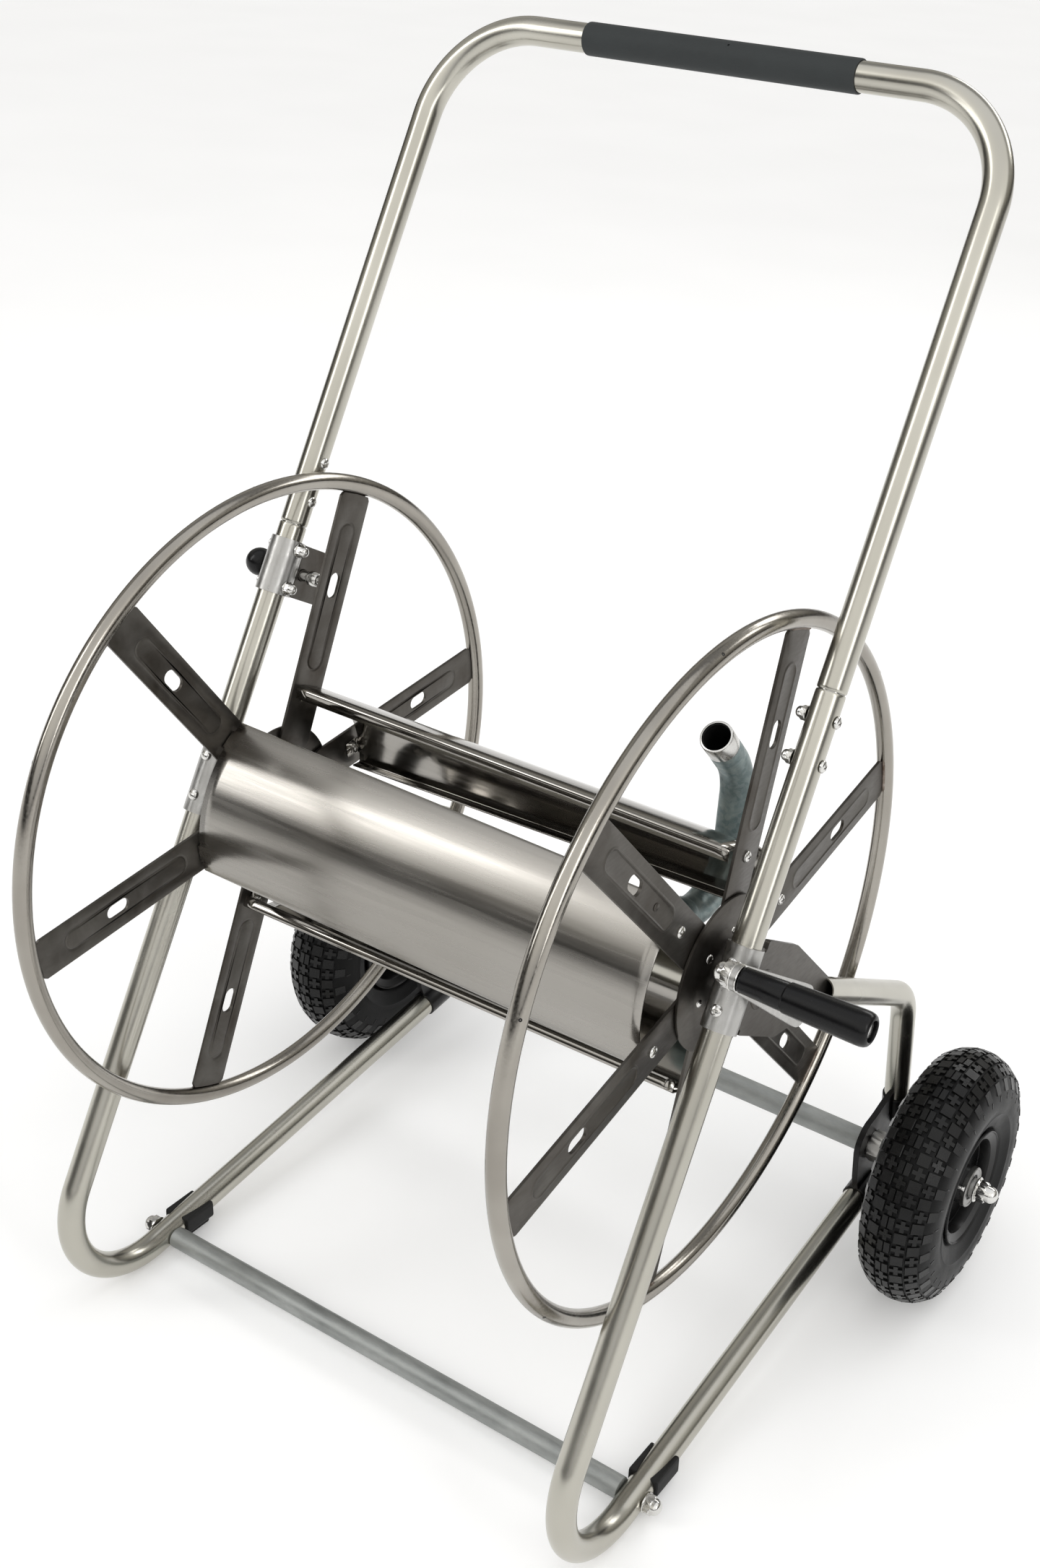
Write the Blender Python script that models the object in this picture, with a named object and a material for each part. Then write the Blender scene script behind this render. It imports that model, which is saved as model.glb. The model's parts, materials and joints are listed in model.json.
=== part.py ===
"""Garden hose reel cart: bent tube side frames, a push handle, a hose drum and two wheels.

X runs across the cart, -Y is the side with the feet, +Y the side with the wheels, Z is up.
Every length is in metres and every angle is in radians.
"""
import math

import bmesh
import bpy
import numpy as np
from mathutils import Matrix, Vector
from mathutils.geometry import tessellate_polygon

GAP = 0.0003

# side frames and handle
TUBE_RADIUS = 0.0125
FRAME_X = 0.279
COLUMN_LEAN = math.radians(28.9)
RUNNER_RISE = math.radians(7.7)
FOOT_CENTRE_Y = -0.1648
FOOT_BEND_RADIUS = 0.086
FOOT_CLEARANCE = 0.001
HANDLE_TOP_Z = 1.126
HANDLE_BEND_RADIUS = 0.090
HANDLE_JOINT_Z = 0.705
SPIGOT_LENGTH = 0.085
SPIGOT_RADIUS = 0.0105
SPIGOT_BORE_RADIUS = 0.0108
GRIP_HALF_LENGTH = 0.133
GRIP_WALL = 0.0019
REAR_TUBE_LEAN = math.radians(-7.5)
ARM_BEND_RADIUS = 0.052

# drum
DRUM_Z = 0.466
DISC_X = 0.2394
RING_RADIUS = 0.2979
RING_TUBE_RADIUS = 0.0078
SPOKE_WIDTH = 0.040
SPOKE_THICKNESS = 0.003
SPOKE_SLOT_RADIUS = 0.203
SPOKE_PITCH = math.radians(60)
DRUM_LEAN = math.radians(-19.65)
DRUM_TWIST = math.radians(3.0)
SLAT_RADIUS = 0.108
SLAT_THICKNESS = 0.0015
SLAT_HALF_LENGTH = 0.229
SLAT_TAB_X = 0.2375
SLAT_LIP = 0.011
HUB_PLATE_RADIUS = 0.068
CORE_RADIUS = 0.024
CORE_BORE = 0.0213
STUB_RADIUS = 0.010

# curved outlet pipe
NECK_X = 0.160
NECK_RADIUS = 0.0150
NECK_BORE = 0.0132
NECK_LEAN = math.radians(-100.0)
NECK_MOUTH_LEAN = math.radians(42.7)
NECK_CORNERS = ((0.1478, -0.0260), (0.1543, 0.0978))
NECK_BENDS = (0.055, 0.057)
NECK_MOUTH_LENGTH = 0.0683

# crank
CRANK_RADIUS = 0.142
CRANK_LEAN = math.radians(52.8)
CRANK_ARM_X = 0.3155
CRANK_ARM_THICKNESS = 0.004
CRANK_GRIP_LENGTH = 0.107

# brake on the left column
PIN_RADIUS = 0.004
PIN_TIP_X = -0.2465
KNOB_RADIUS = 0.0135

# crossbars and feet
FRONT_BAR_Y = -0.1374
FRONT_BAR_RADIUS = 0.0102
REAR_BAR_RADIUS = 0.0116
REAR_BAR_BORE = 0.0084

# wheels
WHEEL_RADIUS = 0.130
WHEEL_HALF_WIDTH = 0.0395
WHEEL_X = 0.359
AXLE_Y = 0.281
AXLE_Z = 0.130
AXLE_RADIUS = 0.008
BRACKET_X = (0.276, 0.282)

# sheet brackets wrapped round the columns
SLEEVE_INSIDE = 0.0128
SLEEVE_OUTSIDE = 0.0153
FIN_HALF = 0.0025
FIN_END = 0.1891
FIN_TONGUE = 0.022

SIDES = (("left", -1), ("right", 1))


def material(name, colour, metallic, roughness):
    """Return a new Principled material."""
    mat = bpy.data.materials.new(name)
    mat.use_nodes = True
    shader = mat.node_tree.nodes["Principled BSDF"]
    shader.inputs["Base Color"].default_value = (*colour, 1.0)
    shader.inputs["Metallic"].default_value = metallic
    shader.inputs["Roughness"].default_value = roughness
    return mat


def make_object(name, verts, faces, look, origin=(0.0, 0.0, 0.0)):
    """Build a smooth shaded object whose origin sits at the given point."""
    colour, metallic, roughness = look
    mesh = bpy.data.meshes.new(name)
    origin = Vector(origin)
    mesh.from_pydata([Vector(v) - origin for v in verts], [], faces)
    body = bmesh.new()
    body.from_mesh(mesh)
    bmesh.ops.recalc_face_normals(body, faces=body.faces)
    body.to_mesh(mesh)
    body.free()
    mesh.shade_smooth()
    mesh.set_sharp_from_angle(angle=math.radians(38))
    mesh.materials.append(material(name + "_material", colour, metallic, roughness))
    obj = bpy.data.objects.new(name, mesh)
    obj.location = origin
    bpy.context.scene.collection.objects.link(obj)
    return obj


def make_cutter(name, solids):
    """Join several closed solids into one hidden cutter."""
    verts = []
    faces = []
    for solid_verts, solid_faces in solids:
        start = len(verts)
        verts += solid_verts
        faces += [[start + i for i in face] for face in solid_faces]
    cutter = make_object(name, verts, faces, PLAIN)
    cutter.hide_render = True
    cutter.display_type = "WIRE"
    return cutter


def add_boolean(obj, operation, other):
    """Add an exact boolean modifier."""
    modifier = obj.modifiers.new(operation.lower(), "BOOLEAN")
    modifier.operation = operation
    modifier.solver = "EXACT"
    modifier.object = other


def tube_solid(path, radii, bore=0.0, segments=14, closed=False, normal=(1.0, 0.0, 0.0)):
    """Sweep a round section along a flat path; the path lies in the plane across normal."""
    count = len(path)
    normal = Vector(normal)
    points = [Vector(p) for p in path]
    if not isinstance(radii, (list, tuple)):
        radii = [radii] * count
    layers = [radii] if bore == 0.0 else [radii, [bore] * count]
    verts = []
    faces = []
    for layer in layers:
        start = len(verts)
        for i, point in enumerate(points):
            before = points[i - 1] if closed or i > 0 else point
            after = points[(i + 1) % count] if closed or i < count - 1 else point
            side = (after - before).normalized().cross(normal)
            for k in range(segments):
                turn = 2.0 * math.pi * k / segments
                offset = normal * math.cos(turn) + side * math.sin(turn)
                verts.append(point + offset * layer[i])
        for i in range(count if closed else count - 1):
            ring_a = start + i * segments
            ring_b = start + ((i + 1) % count) * segments
            for k in range(segments):
                n = (k + 1) % segments
                faces.append([ring_a + k, ring_a + n, ring_b + n, ring_b + k])
    if closed:
        return verts, faces
    for first in (0, (count - 1) * segments):
        if bore == 0.0:
            faces.append([first + k for k in range(segments)])
            continue
        inner = first + count * segments
        for k in range(segments):
            n = (k + 1) % segments
            faces.append([first + k, first + n, inner + n, inner + k])
    return verts, faces


def rounded_path(corners, bend_radii, steps):
    """Replace each inner corner of a polyline with an arc."""
    points = [Vector(c) for c in corners]
    path = [points[0]]
    for i in range(1, len(points) - 1):
        back = (points[i - 1] - points[i]).normalized()
        ahead = (points[i + 1] - points[i]).normalized()
        half = back.angle(ahead) / 2.0
        radius = bend_radii[i - 1]
        centre = points[i] + (back + ahead).normalized() * radius / math.sin(half)
        start = points[i] + back * radius / math.tan(half) - centre
        sweep = math.pi - 2.0 * half
        axis = back.cross(ahead).normalized()
        for k in range(steps + 1):
            path.append(centre + Matrix.Rotation(-sweep * k / steps, 3, axis) @ start)
    path.append(points[-1])
    return path


def lathe_solid(profile, segments=24, closed=False, frame=Matrix.Identity(4)):
    """Turn (distance, radius) points around an axis; the axis is local X of the frame."""
    verts = []
    faces = []
    rings = []
    for distance, radius in profile:
        if radius == 0.0:
            rings.append([len(verts)])
            verts.append(frame @ Vector((distance, 0.0, 0.0)))
            continue
        rings.append(list(range(len(verts), len(verts) + segments)))
        for k in range(segments):
            turn = 2.0 * math.pi * (k + 0.5) / segments
            verts.append(frame @ Vector((distance, radius * math.cos(turn), radius * math.sin(turn))))
    pairs = list(zip(rings[:-1], rings[1:]))
    if closed:
        pairs.append((rings[-1], rings[0]))
    for ring_a, ring_b in pairs:
        for k in range(segments):
            n = (k + 1) % segments
            if len(ring_a) == 1:
                faces.append([ring_a[0], ring_b[n], ring_b[k]])
            elif len(ring_b) == 1:
                faces.append([ring_a[k], ring_a[n], ring_b[0]])
            else:
                faces.append([ring_a[k], ring_a[n], ring_b[n], ring_b[k]])
    return verts, faces


def hex_lathe(profile, hex_range, frame=Matrix.Identity(4)):
    """Turn a profile whose points inside hex_range become a hexagon."""
    verts, faces = lathe_solid(profile, 12, frame=frame)
    inverse = frame.inverted()
    for i, vert in enumerate(verts):
        local = inverse @ vert
        radius = math.hypot(local.y, local.z)
        if hex_range[0] - 1e-6 <= local.x <= hex_range[1] + 1e-6 and radius > hex_range[2]:
            turn = math.atan2(local.z, local.y)
            across = (turn + math.pi / 12) % (math.pi / 3) - math.pi / 6
            scale = math.cos(math.pi / 6) / math.cos(across)
            verts[i] = frame @ Vector((local.x, local.y * scale, local.z * scale))
    return verts, faces


def plate_solid(outline, holes, x_from, x_to, frame=Matrix.Identity(4)):
    """Extrude a flat outline with holes between two X positions; points are (y, z)."""
    loops = [outline] + holes
    flat = [[Vector((y, z, 0.0)) for y, z in loop] for loop in loops]
    points = [p for loop in loops for p in loop]
    count = len(points)
    verts = [frame @ Vector((x_from, y, z)) for y, z in points]
    verts += [frame @ Vector((x_to, y, z)) for y, z in points]
    faces = []
    for a, b, c in tessellate_polygon(flat):
        faces.append([a, b, c])
        faces.append([count + c, count + b, count + a])
    start = 0
    for loop in loops:
        size = len(loop)
        for k in range(size):
            a = start + k
            b = start + (k + 1) % size
            faces.append([a, b, count + b, count + a])
        start += size
    return verts, faces


def thicken(verts, faces, thickness):
    """Give a folded sheet its thickness, measured against the face normals."""
    points = [np.array(v, dtype=float) for v in verts]
    touching = [[] for _ in points]
    edge_uses = {}
    for face in faces:
        total = np.zeros(3)
        for k in range(1, len(face) - 1):
            total += np.cross(points[face[k]] - points[face[0]], points[face[k + 1]] - points[face[0]])
        normal = total / np.linalg.norm(total)
        for k, index in enumerate(face):
            touching[index].append(normal)
            edge_uses.setdefault(frozenset((index, face[(k + 1) % len(face)])), []).append(
                (index, face[(k + 1) % len(face)]))
    inner = []
    for point, normals in zip(points, touching):
        shift = np.linalg.lstsq(np.array(normals), np.full(len(normals), -thickness), rcond=0.05)[0]
        inner.append(point + shift)
    count = len(points)
    solid = [list(face) for face in faces]
    solid += [[count + i for i in reversed(face)] for face in faces]
    for uses in edge_uses.values():
        if len(uses) == 1:
            a, b = uses[0]
            solid.append([b, a, count + a, count + b])
    return [Vector(p) for p in points + inner], solid


def circle_points(centre, radius, count):
    """Points of a round hole in the (y, z) plane."""
    turns = [2.0 * math.pi * k / count for k in range(count)]
    return [(centre[0] + radius * math.cos(t), centre[1] + radius * math.sin(t)) for t in turns]


def axis_frame(point, direction):
    """Frame whose local X points along direction."""
    x_axis = Vector(direction).normalized()
    helper = Vector((0.0, 0.0, 1.0)) if abs(x_axis.z) < 0.9 else Vector((0.0, 1.0, 0.0))
    y_axis = helper.cross(x_axis).normalized()
    z_axis = x_axis.cross(y_axis)
    frame = Matrix((x_axis, y_axis, z_axis)).transposed().to_4x4()
    frame.translation = Vector(point)
    return frame


def drum_frame(angle):
    """Frame on the drum axis whose local Z points outward; angle is from up toward the front."""
    return Matrix.Translation((0.0, 0.0, DRUM_Z)) @ Matrix.Rotation(angle, 4, "X")


PLAIN = ((0.5, 0.5, 0.5), 0.0, 0.5)
POLISHED = ((0.62, 0.61, 0.57), 1.0, 0.16)
MIRROR = ((0.66, 0.65, 0.62), 1.0, 0.08)
DARK_STEEL = ((0.12, 0.115, 0.11), 0.9, 0.38)
SATIN = ((0.45, 0.45, 0.44), 1.0, 0.32)
ZINC = ((0.42, 0.46, 0.48), 0.85, 0.45)
BLACK_PAINT = ((0.015, 0.015, 0.016), 0.1, 0.42)
RUBBER = ((0.02, 0.02, 0.021), 0.0, 0.75)
GRIP_FOAM = ((0.045, 0.05, 0.052), 0.0, 0.8)
GLOSS_PLASTIC = ((0.01, 0.01, 0.011), 0.0, 0.25)
BRIGHT = ((0.75, 0.74, 0.72), 1.0, 0.2)

DRUM_CENTRE = Vector((0.0, 0.0, DRUM_Z))
FOOT_CENTRE_Z = FOOT_BEND_RADIUS + TUBE_RADIUS + FOOT_CLEARANCE
COLUMN_START = Vector((
    0.0,
    FOOT_CENTRE_Y - FOOT_BEND_RADIUS * math.cos(COLUMN_LEAN),
    FOOT_CENTRE_Z + FOOT_BEND_RADIUS * math.sin(COLUMN_LEAN),
))
COLUMN_UP = Vector((0.0, math.sin(COLUMN_LEAN), math.cos(COLUMN_LEAN)))
COLUMN_BACK = Vector((0.0, math.cos(COLUMN_LEAN), -math.sin(COLUMN_LEAN)))
RUNNER_START = Vector((
    0.0,
    FOOT_CENTRE_Y + FOOT_BEND_RADIUS * math.sin(RUNNER_RISE),
    FOOT_CENTRE_Z - FOOT_BEND_RADIUS * math.cos(RUNNER_RISE),
))
RUNNER_ALONG = Vector((0.0, math.cos(RUNNER_RISE), math.sin(RUNNER_RISE)))
REAR_UP = Vector((0.0, math.sin(REAR_TUBE_LEAN), math.cos(REAR_TUBE_LEAN)))
REAR_FOOT = Vector((0.0, 0.3366, 0.150))
COLUMN_TO_AXLE = (DRUM_CENTRE - COLUMN_START).dot(COLUMN_BACK)


def column_point(side, z):
    """Point of the column centreline at height z."""
    step = (z - COLUMN_START.z) / COLUMN_UP.z
    return COLUMN_START + COLUMN_UP * step + Vector((side * FRAME_X, 0.0, 0.0))


def runner_point(side, y):
    """Point of the runner centreline at depth y."""
    step = (y - RUNNER_START.y) / RUNNER_ALONG.y
    return RUNNER_START + RUNNER_ALONG * step + Vector((side * FRAME_X, 0.0, 0.0))


def bracket_point(side, back, up):
    """Point measured from the drum axis, square to the column."""
    return DRUM_CENTRE + COLUMN_BACK * back + COLUMN_UP * up + Vector((side * FRAME_X, 0.0, 0.0))


HANDLE_BOLT_HEIGHTS = (("upper", 0.6858), ("lower", 0.6545))
BRACKET_BOLT_HEIGHTS = (("upper", 0.019), ("lower", -0.019))
BOLT_RADIUS = 0.003
BOLT_HOLE_RADIUS = 0.0033


def frame_tube(name, side):
    """Column, foot bend and runner bent from one tube, open at the top for the handle."""
    top = column_point(side, HANDLE_JOINT_Z - GAP)
    centre = Vector((side * FRAME_X, FOOT_CENTRE_Y, FOOT_CENTRE_Z))
    path = [top]
    steps = 12
    for k in range(steps + 1):
        turn = math.pi - COLUMN_LEAN + (math.pi / 2 + COLUMN_LEAN + RUNNER_RISE) * k / steps
        path.append(centre + FOOT_BEND_RADIUS * Vector((0.0, math.cos(turn), math.sin(turn))))
    path.append(runner_point(side, 0.2755))
    verts, faces = tube_solid(path, TUBE_RADIUS, segments=16)
    obj = make_object(name, verts, faces, POLISHED)
    bore_foot = top - COLUMN_UP * (SPIGOT_LENGTH + 0.003)
    cuts = [tube_solid([bore_foot, top + COLUMN_UP * 0.01], SPIGOT_BORE_RADIUS, segments=16)]
    reach = Vector((0.02, 0.0, 0.0))
    for _, height in HANDLE_BOLT_HEIGHTS:
        spot = column_point(side, height)
        cuts.append(tube_solid([spot - reach, spot + reach], BOLT_HOLE_RADIUS, 0.0, 10, False, (0, 0, 1)))
    for _, up in BRACKET_BOLT_HEIGHTS:
        spot = bracket_point(side, -COLUMN_TO_AXLE, up)
        ends = [spot - COLUMN_BACK * 0.02, spot - COLUMN_BACK * 0.0030]
        cuts.append(tube_solid(ends, BOLT_HOLE_RADIUS, 0.0, 10))
    spot = runner_point(side, FRONT_BAR_Y)
    cuts.append(tube_solid([spot - reach, spot + reach], BOLT_HOLE_RADIUS, 0.0, 10, False, (0, 0, 1)))
    add_boolean(obj, "DIFFERENCE", make_cutter(name + "_cutter", cuts))


def rear_tube(name, side):
    """Rear upright and the arm that runs square to the column up to the hub bracket."""
    reach = (REAR_FOOT - DRUM_CENTRE).cross(REAR_UP).x / COLUMN_BACK.cross(REAR_UP).x
    corner = bracket_point(side, reach, 0.0)
    foot = REAR_FOOT + Vector((side * FRAME_X, 0.0, 0.0))
    fin_end = FIN_END - COLUMN_TO_AXLE
    start = bracket_point(side, fin_end + GAP, 0.0)
    path = rounded_path([start, corner, foot], [ARM_BEND_RADIUS], 8)
    verts, faces = tube_solid(path, TUBE_RADIUS, segments=16)
    obj = make_object(name, verts, faces, POLISHED)
    half = FIN_HALF + GAP
    outline = [(-0.01, -0.02), (-0.01, 0.02), (FIN_TONGUE + 2 * GAP, 0.02), (FIN_TONGUE + 2 * GAP, -0.02)]
    frame = column_frame(bracket_point(side, fin_end, 0.0))
    slot = make_cutter(name + "_slot", [plate_solid(outline, [], -half, half, frame)])
    add_boolean(obj, "DIFFERENCE", slot)


def handle_tube():
    """Bent handle tube with a stepped spigot on each leg that slides into the columns."""
    corners = []
    for side in (-1, 1):
        leg = column_point(side, HANDLE_JOINT_Z)
        corners.append([leg - COLUMN_UP * SPIGOT_LENGTH, leg, leg + COLUMN_UP * 0.0001,
                        column_point(side, HANDLE_TOP_Z)])
    line = [corners[0][2], corners[0][3], corners[1][3], corners[1][2]]
    bends = rounded_path(line, [HANDLE_BEND_RADIUS, HANDLE_BEND_RADIUS], 8)
    path = [corners[0][0], corners[0][1]] + bends + [corners[1][1], corners[1][0]]
    radii = [SPIGOT_RADIUS] * 2 + [TUBE_RADIUS] * len(bends) + [SPIGOT_RADIUS] * 2
    verts, faces = tube_solid(path, radii, 0.0, 16, False, COLUMN_BACK)
    obj = make_object("handle_tube", verts, faces, POLISHED)
    cuts = []
    reach = Vector((0.02, 0.0, 0.0))
    for side in (-1, 1):
        for _, height in HANDLE_BOLT_HEIGHTS:
            spot = column_point(side, height)
            cuts.append(tube_solid([spot - reach, spot + reach], BOLT_HOLE_RADIUS, 0.0, 10, False, (0, 0, 1)))
    add_boolean(obj, "DIFFERENCE", make_cutter("handle_tube_cutter", cuts))


def handle_grip():
    """Soft sleeve on the handle bar."""
    bar = column_point(1, HANDLE_TOP_Z)
    inner = TUBE_RADIUS + GAP
    outer = TUBE_RADIUS + GRIP_WALL
    half = GRIP_HALF_LENGTH
    profile = [(-half, inner), (-half, outer - 0.001), (-half + 0.002, outer),
               (half - 0.002, outer), (half, outer - 0.001), (half, inner)]
    frame = Matrix.Translation((0.0, bar.y, bar.z))
    verts, faces = lathe_solid(profile, 20, True, frame)
    make_object("handle_grip", verts, faces, GRIP_FOAM)


def cap_bolt(name, start, direction, grip, origin=None):
    """Through bolt with a domed head at the start side and an acorn nut at the far side."""
    profile = [(-0.0042, 0.0), (-0.0038, 0.0025), (-0.0022, 0.0050), (0.0, 0.0058), (0.0, BOLT_RADIUS),
               (grip, BOLT_RADIUS), (grip, 0.0062), (grip + 0.0045, 0.0062), (grip + 0.0050, 0.0042),
               (grip + 0.0080, 0.0032), (grip + 0.0092, 0.0)]
    frame = axis_frame(start, direction)
    verts, faces = hex_lathe(profile, (grip, grip + 0.0045, 0.0055), frame)
    make_object(name, verts, faces, BRIGHT, origin or start)


def handle_bolts():
    """Two bolts through each column and the handle spigot inside it."""
    for word, side in SIDES:
        for level, height in HANDLE_BOLT_HEIGHTS:
            outer = TUBE_RADIUS + GAP if side > 0 else SLEEVE_OUTSIDE + GAP
            spot = column_point(side, height)
            start = spot + Vector((side * outer, 0.0, 0.0))
            cap_bolt(f"handle_bolt_{word}_{level}", start, (-side, 0.0, 0.0), 2.0 * outer)


def column_frame(base):
    """Frame whose local Y runs back from the column and whose local Z runs up along it."""
    frame = Matrix((Vector((1.0, 0.0, 0.0)), COLUMN_BACK, COLUMN_UP)).transposed().to_4x4()
    frame.translation = base
    return frame


def wrapped_bracket(name, base, half_height, fin, holes, cuts, look):
    """Sheet wrapped round the column whose two ends meet behind it and run on as a flat fin.

    The fin outline and its holes are (back, up) points measured from base.
    """
    ends = [base - COLUMN_UP * half_height, base + COLUMN_UP * half_height]
    verts, faces = tube_solid(ends, SLEEVE_OUTSIDE, SLEEVE_INSIDE, 24)
    obj = make_object(name, verts, faces, look)
    plate = plate_solid(fin, holes, -FIN_HALF, FIN_HALF, column_frame(base))
    add_boolean(obj, "UNION", make_cutter(name + "_fin", [plate]))
    add_boolean(obj, "DIFFERENCE", make_cutter(name + "_holes", cuts))


def hub_bracket(name, side):
    """Bracket that clamps the column, carries the drum axle and takes the end of the rear arm."""
    base = bracket_point(side, -COLUMN_TO_AXLE, 0.0)
    tongue = FIN_END + FIN_TONGUE
    fin = [(0.0140, -0.0345), (0.0376, -0.0345), (0.0376, -0.0393), (0.1125, -0.0413),
           (FIN_END, -0.0141), (FIN_END, -0.0115), (tongue, -0.0115), (tongue, 0.0115),
           (FIN_END, 0.0115), (FIN_END, 0.0141), (0.0989, 0.0394), (0.0396, 0.0410),
           (0.0380, 0.0395), (0.0380, 0.0325), (0.0355, 0.0305), (0.0330, 0.0325), (0.0320, 0.0345),
           (0.0140, 0.0345)]
    axle_hole = circle_points((COLUMN_TO_AXLE, 0.0), STUB_RADIUS + GAP, 20)
    cuts = []
    for _, up in BRACKET_BOLT_HEIGHTS:
        spot = bracket_point(side, -COLUMN_TO_AXLE, up)
        ends = [spot - COLUMN_BACK * 0.03, spot - COLUMN_BACK * 0.005]
        cuts.append(tube_solid(ends, BOLT_HOLE_RADIUS, 0.0, 10))
    wrapped_bracket(name, base, 0.035, fin, [axle_hole], cuts, SATIN)


def bracket_screws():
    """Round headed screws that hold the hub brackets to the fronts of the columns."""
    for word, side in SIDES:
        for level, up in BRACKET_BOLT_HEIGHTS:
            spot = bracket_point(side, -COLUMN_TO_AXLE, up)
            start = spot - COLUMN_BACK * (SLEEVE_OUTSIDE + GAP)
            profile = [(-0.0038, 0.0), (-0.0034, 0.0026), (-0.0020, 0.0046), (0.0, 0.0052),
                       (0.0, BOLT_RADIUS), (0.0120, BOLT_RADIUS), (0.0120, 0.0)]
            verts, faces = lathe_solid(profile, 14, frame=axis_frame(start, COLUMN_BACK))
            make_object(f"bracket_screw_{word}_{level}", verts, faces, BRIGHT, start)


def front_crossbar():
    """Round bar between the two runners."""
    end = FRAME_X - TUBE_RADIUS - GAP
    y, z = runner_point(1, FRONT_BAR_Y).yz
    profile = [(-end, 0.0), (-end, FRONT_BAR_RADIUS - 0.001), (-end + 0.001, FRONT_BAR_RADIUS),
               (end - 0.001, FRONT_BAR_RADIUS), (end, FRONT_BAR_RADIUS - 0.001), (end, 0.0)]
    verts, faces = lathe_solid(profile, 20, frame=Matrix.Translation((0.0, y, z)))
    obj = make_object("front_crossbar", verts, faces, ZINC)
    cuts = []
    for side in (-1, 1):
        ends = [Vector((side * (end - 0.022), y, z)), Vector((side * (end + 0.01), y, z))]
        cuts.append(tube_solid(ends, BOLT_HOLE_RADIUS, 0.0, 10, False, (0, 0, 1)))
    add_boolean(obj, "DIFFERENCE", make_cutter("front_crossbar_cutter", cuts))


def bar_bolts():
    """Bolts through the runners into the ends of the front crossbar."""
    for word, side in SIDES:
        spot = runner_point(side, FRONT_BAR_Y)
        start = spot + Vector((side * (TUBE_RADIUS + GAP), 0.0, 0.0))
        profile = [(-0.0150, 0.0), (-0.0140, 0.0045), (-0.0105, 0.0070), (-0.0085, 0.0078),
                   (-0.0085, 0.0092), (0.0, 0.0092), (0.0, BOLT_RADIUS), (0.0440, BOLT_RADIUS),
                   (0.0440, 0.0)]
        verts, faces = hex_lathe(profile, (-0.0085, 0.0, 0.0085), axis_frame(start, (-side, 0, 0)))
        make_object(f"bar_bolt_{word}", verts, faces, BRIGHT, start)


def rear_crossbar():
    """Tube between the wheel brackets; the wheel axles sit inside its ends."""
    end = BRACKET_X[0] - GAP
    profile = [(-end, REAR_BAR_BORE), (-end, REAR_BAR_RADIUS), (end, REAR_BAR_RADIUS), (end, REAR_BAR_BORE)]
    verts, faces = lathe_solid(profile, 20, True, Matrix.Translation((0.0, AXLE_Y, AXLE_Z)))
    make_object("rear_crossbar", verts, faces, ZINC)


def foot_block(name, side):
    """Moulded saddle clipped under the runner just behind the front crossbar."""
    centre = runner_point(side, -0.107)
    half = [(0.0080, 0.0), (0.0080, 0.0050), (0.0110, 0.0070), (0.0152, 0.0120), (0.0152, 0.0260),
            (0.0144, 0.0290)]
    outline = half + [(-x, z) for x, z in reversed(half)]
    count = len(outline)
    verts = []
    for y in (-0.1245, -0.0885):
        verts += [Vector((side * FRAME_X + x, y, z)) for x, z in outline]
    faces = [list(range(count)), list(range(2 * count - 1, count - 1, -1))]
    for k in range(count):
        n = (k + 1) % count
        faces.append([k, n, count + n, count + k])
    obj = make_object(name, verts, faces, BLACK_PAINT)
    ends = [centre - RUNNER_ALONG * 0.04, centre + RUNNER_ALONG * 0.04]
    cutter = make_cutter(name + "_cutter", [tube_solid(ends, TUBE_RADIUS + 0.0004, segments=20)])
    add_boolean(obj, "DIFFERENCE", cutter)


def wheel_bracket(name, side):
    """Plate with two sockets that joins the runner, the rear upright and the wheel axle."""
    outline = [(0.274, 0.056), (0.256, 0.097), (0.251, 0.137), (0.254, 0.147), (0.266, 0.159),
               (0.287, 0.162), (0.302, 0.1665), (0.320, 0.170), (0.350, 0.165), (0.358, 0.130),
               (0.348, 0.080), (0.320, 0.058)]
    near, far = sorted((side * BRACKET_X[0], side * BRACKET_X[1]))
    verts, faces = plate_solid(outline, [], near, far)
    obj = make_object(name, verts, faces, BLACK_PAINT)
    shift = Vector((side * FRAME_X, 0.0, 0.0))
    sockets = [
        tube_solid([runner_point(side, 0.2640), runner_point(side, 0.3020)], 0.0142, segments=18),
        tube_solid([REAR_FOOT + shift + REAR_UP * 0.0100, REAR_FOOT + shift - REAR_UP * 0.0220],
                   0.0142, segments=18),
    ]
    add_boolean(obj, "UNION", make_cutter(name + "_sockets", sockets))
    bores = [
        tube_solid([runner_point(side, 0.2300), runner_point(side, 0.2758)], TUBE_RADIUS + GAP, segments=16),
        tube_solid([REAR_FOOT + shift + REAR_UP * 0.0500, REAR_FOOT + shift - REAR_UP * GAP],
                   TUBE_RADIUS + GAP, segments=16),
        tube_solid([Vector((side * 0.26, AXLE_Y, AXLE_Z)), Vector((side * 0.30, AXLE_Y, AXLE_Z))],
                   AXLE_RADIUS + GAP, 0.0, 16, False, (0, 0, 1)),
    ]
    add_boolean(obj, "DIFFERENCE", make_cutter(name + "_bores", bores))


def disc_ring(name, side):
    """Rim of a drum disc, a tube bent into a full circle."""
    path = []
    for k in range(56):
        turn = 2.0 * math.pi * k / 56
        spot = Vector((0.0, RING_RADIUS * math.sin(turn), RING_RADIUS * math.cos(turn)))
        path.append(DRUM_CENTRE + Vector((side * DISC_X, 0.0, 0.0)) + spot)
    verts, faces = tube_solid(path, RING_TUBE_RADIUS, 0.0, 8, True)
    make_object(name, verts, faces, POLISHED, (side * DISC_X, 0.0, DRUM_Z))


def spoke_angle(side, index):
    """Angle of a spoke from straight up toward the front."""
    return DRUM_LEAN + side * DRUM_TWIST + index * SPOKE_PITCH


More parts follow.
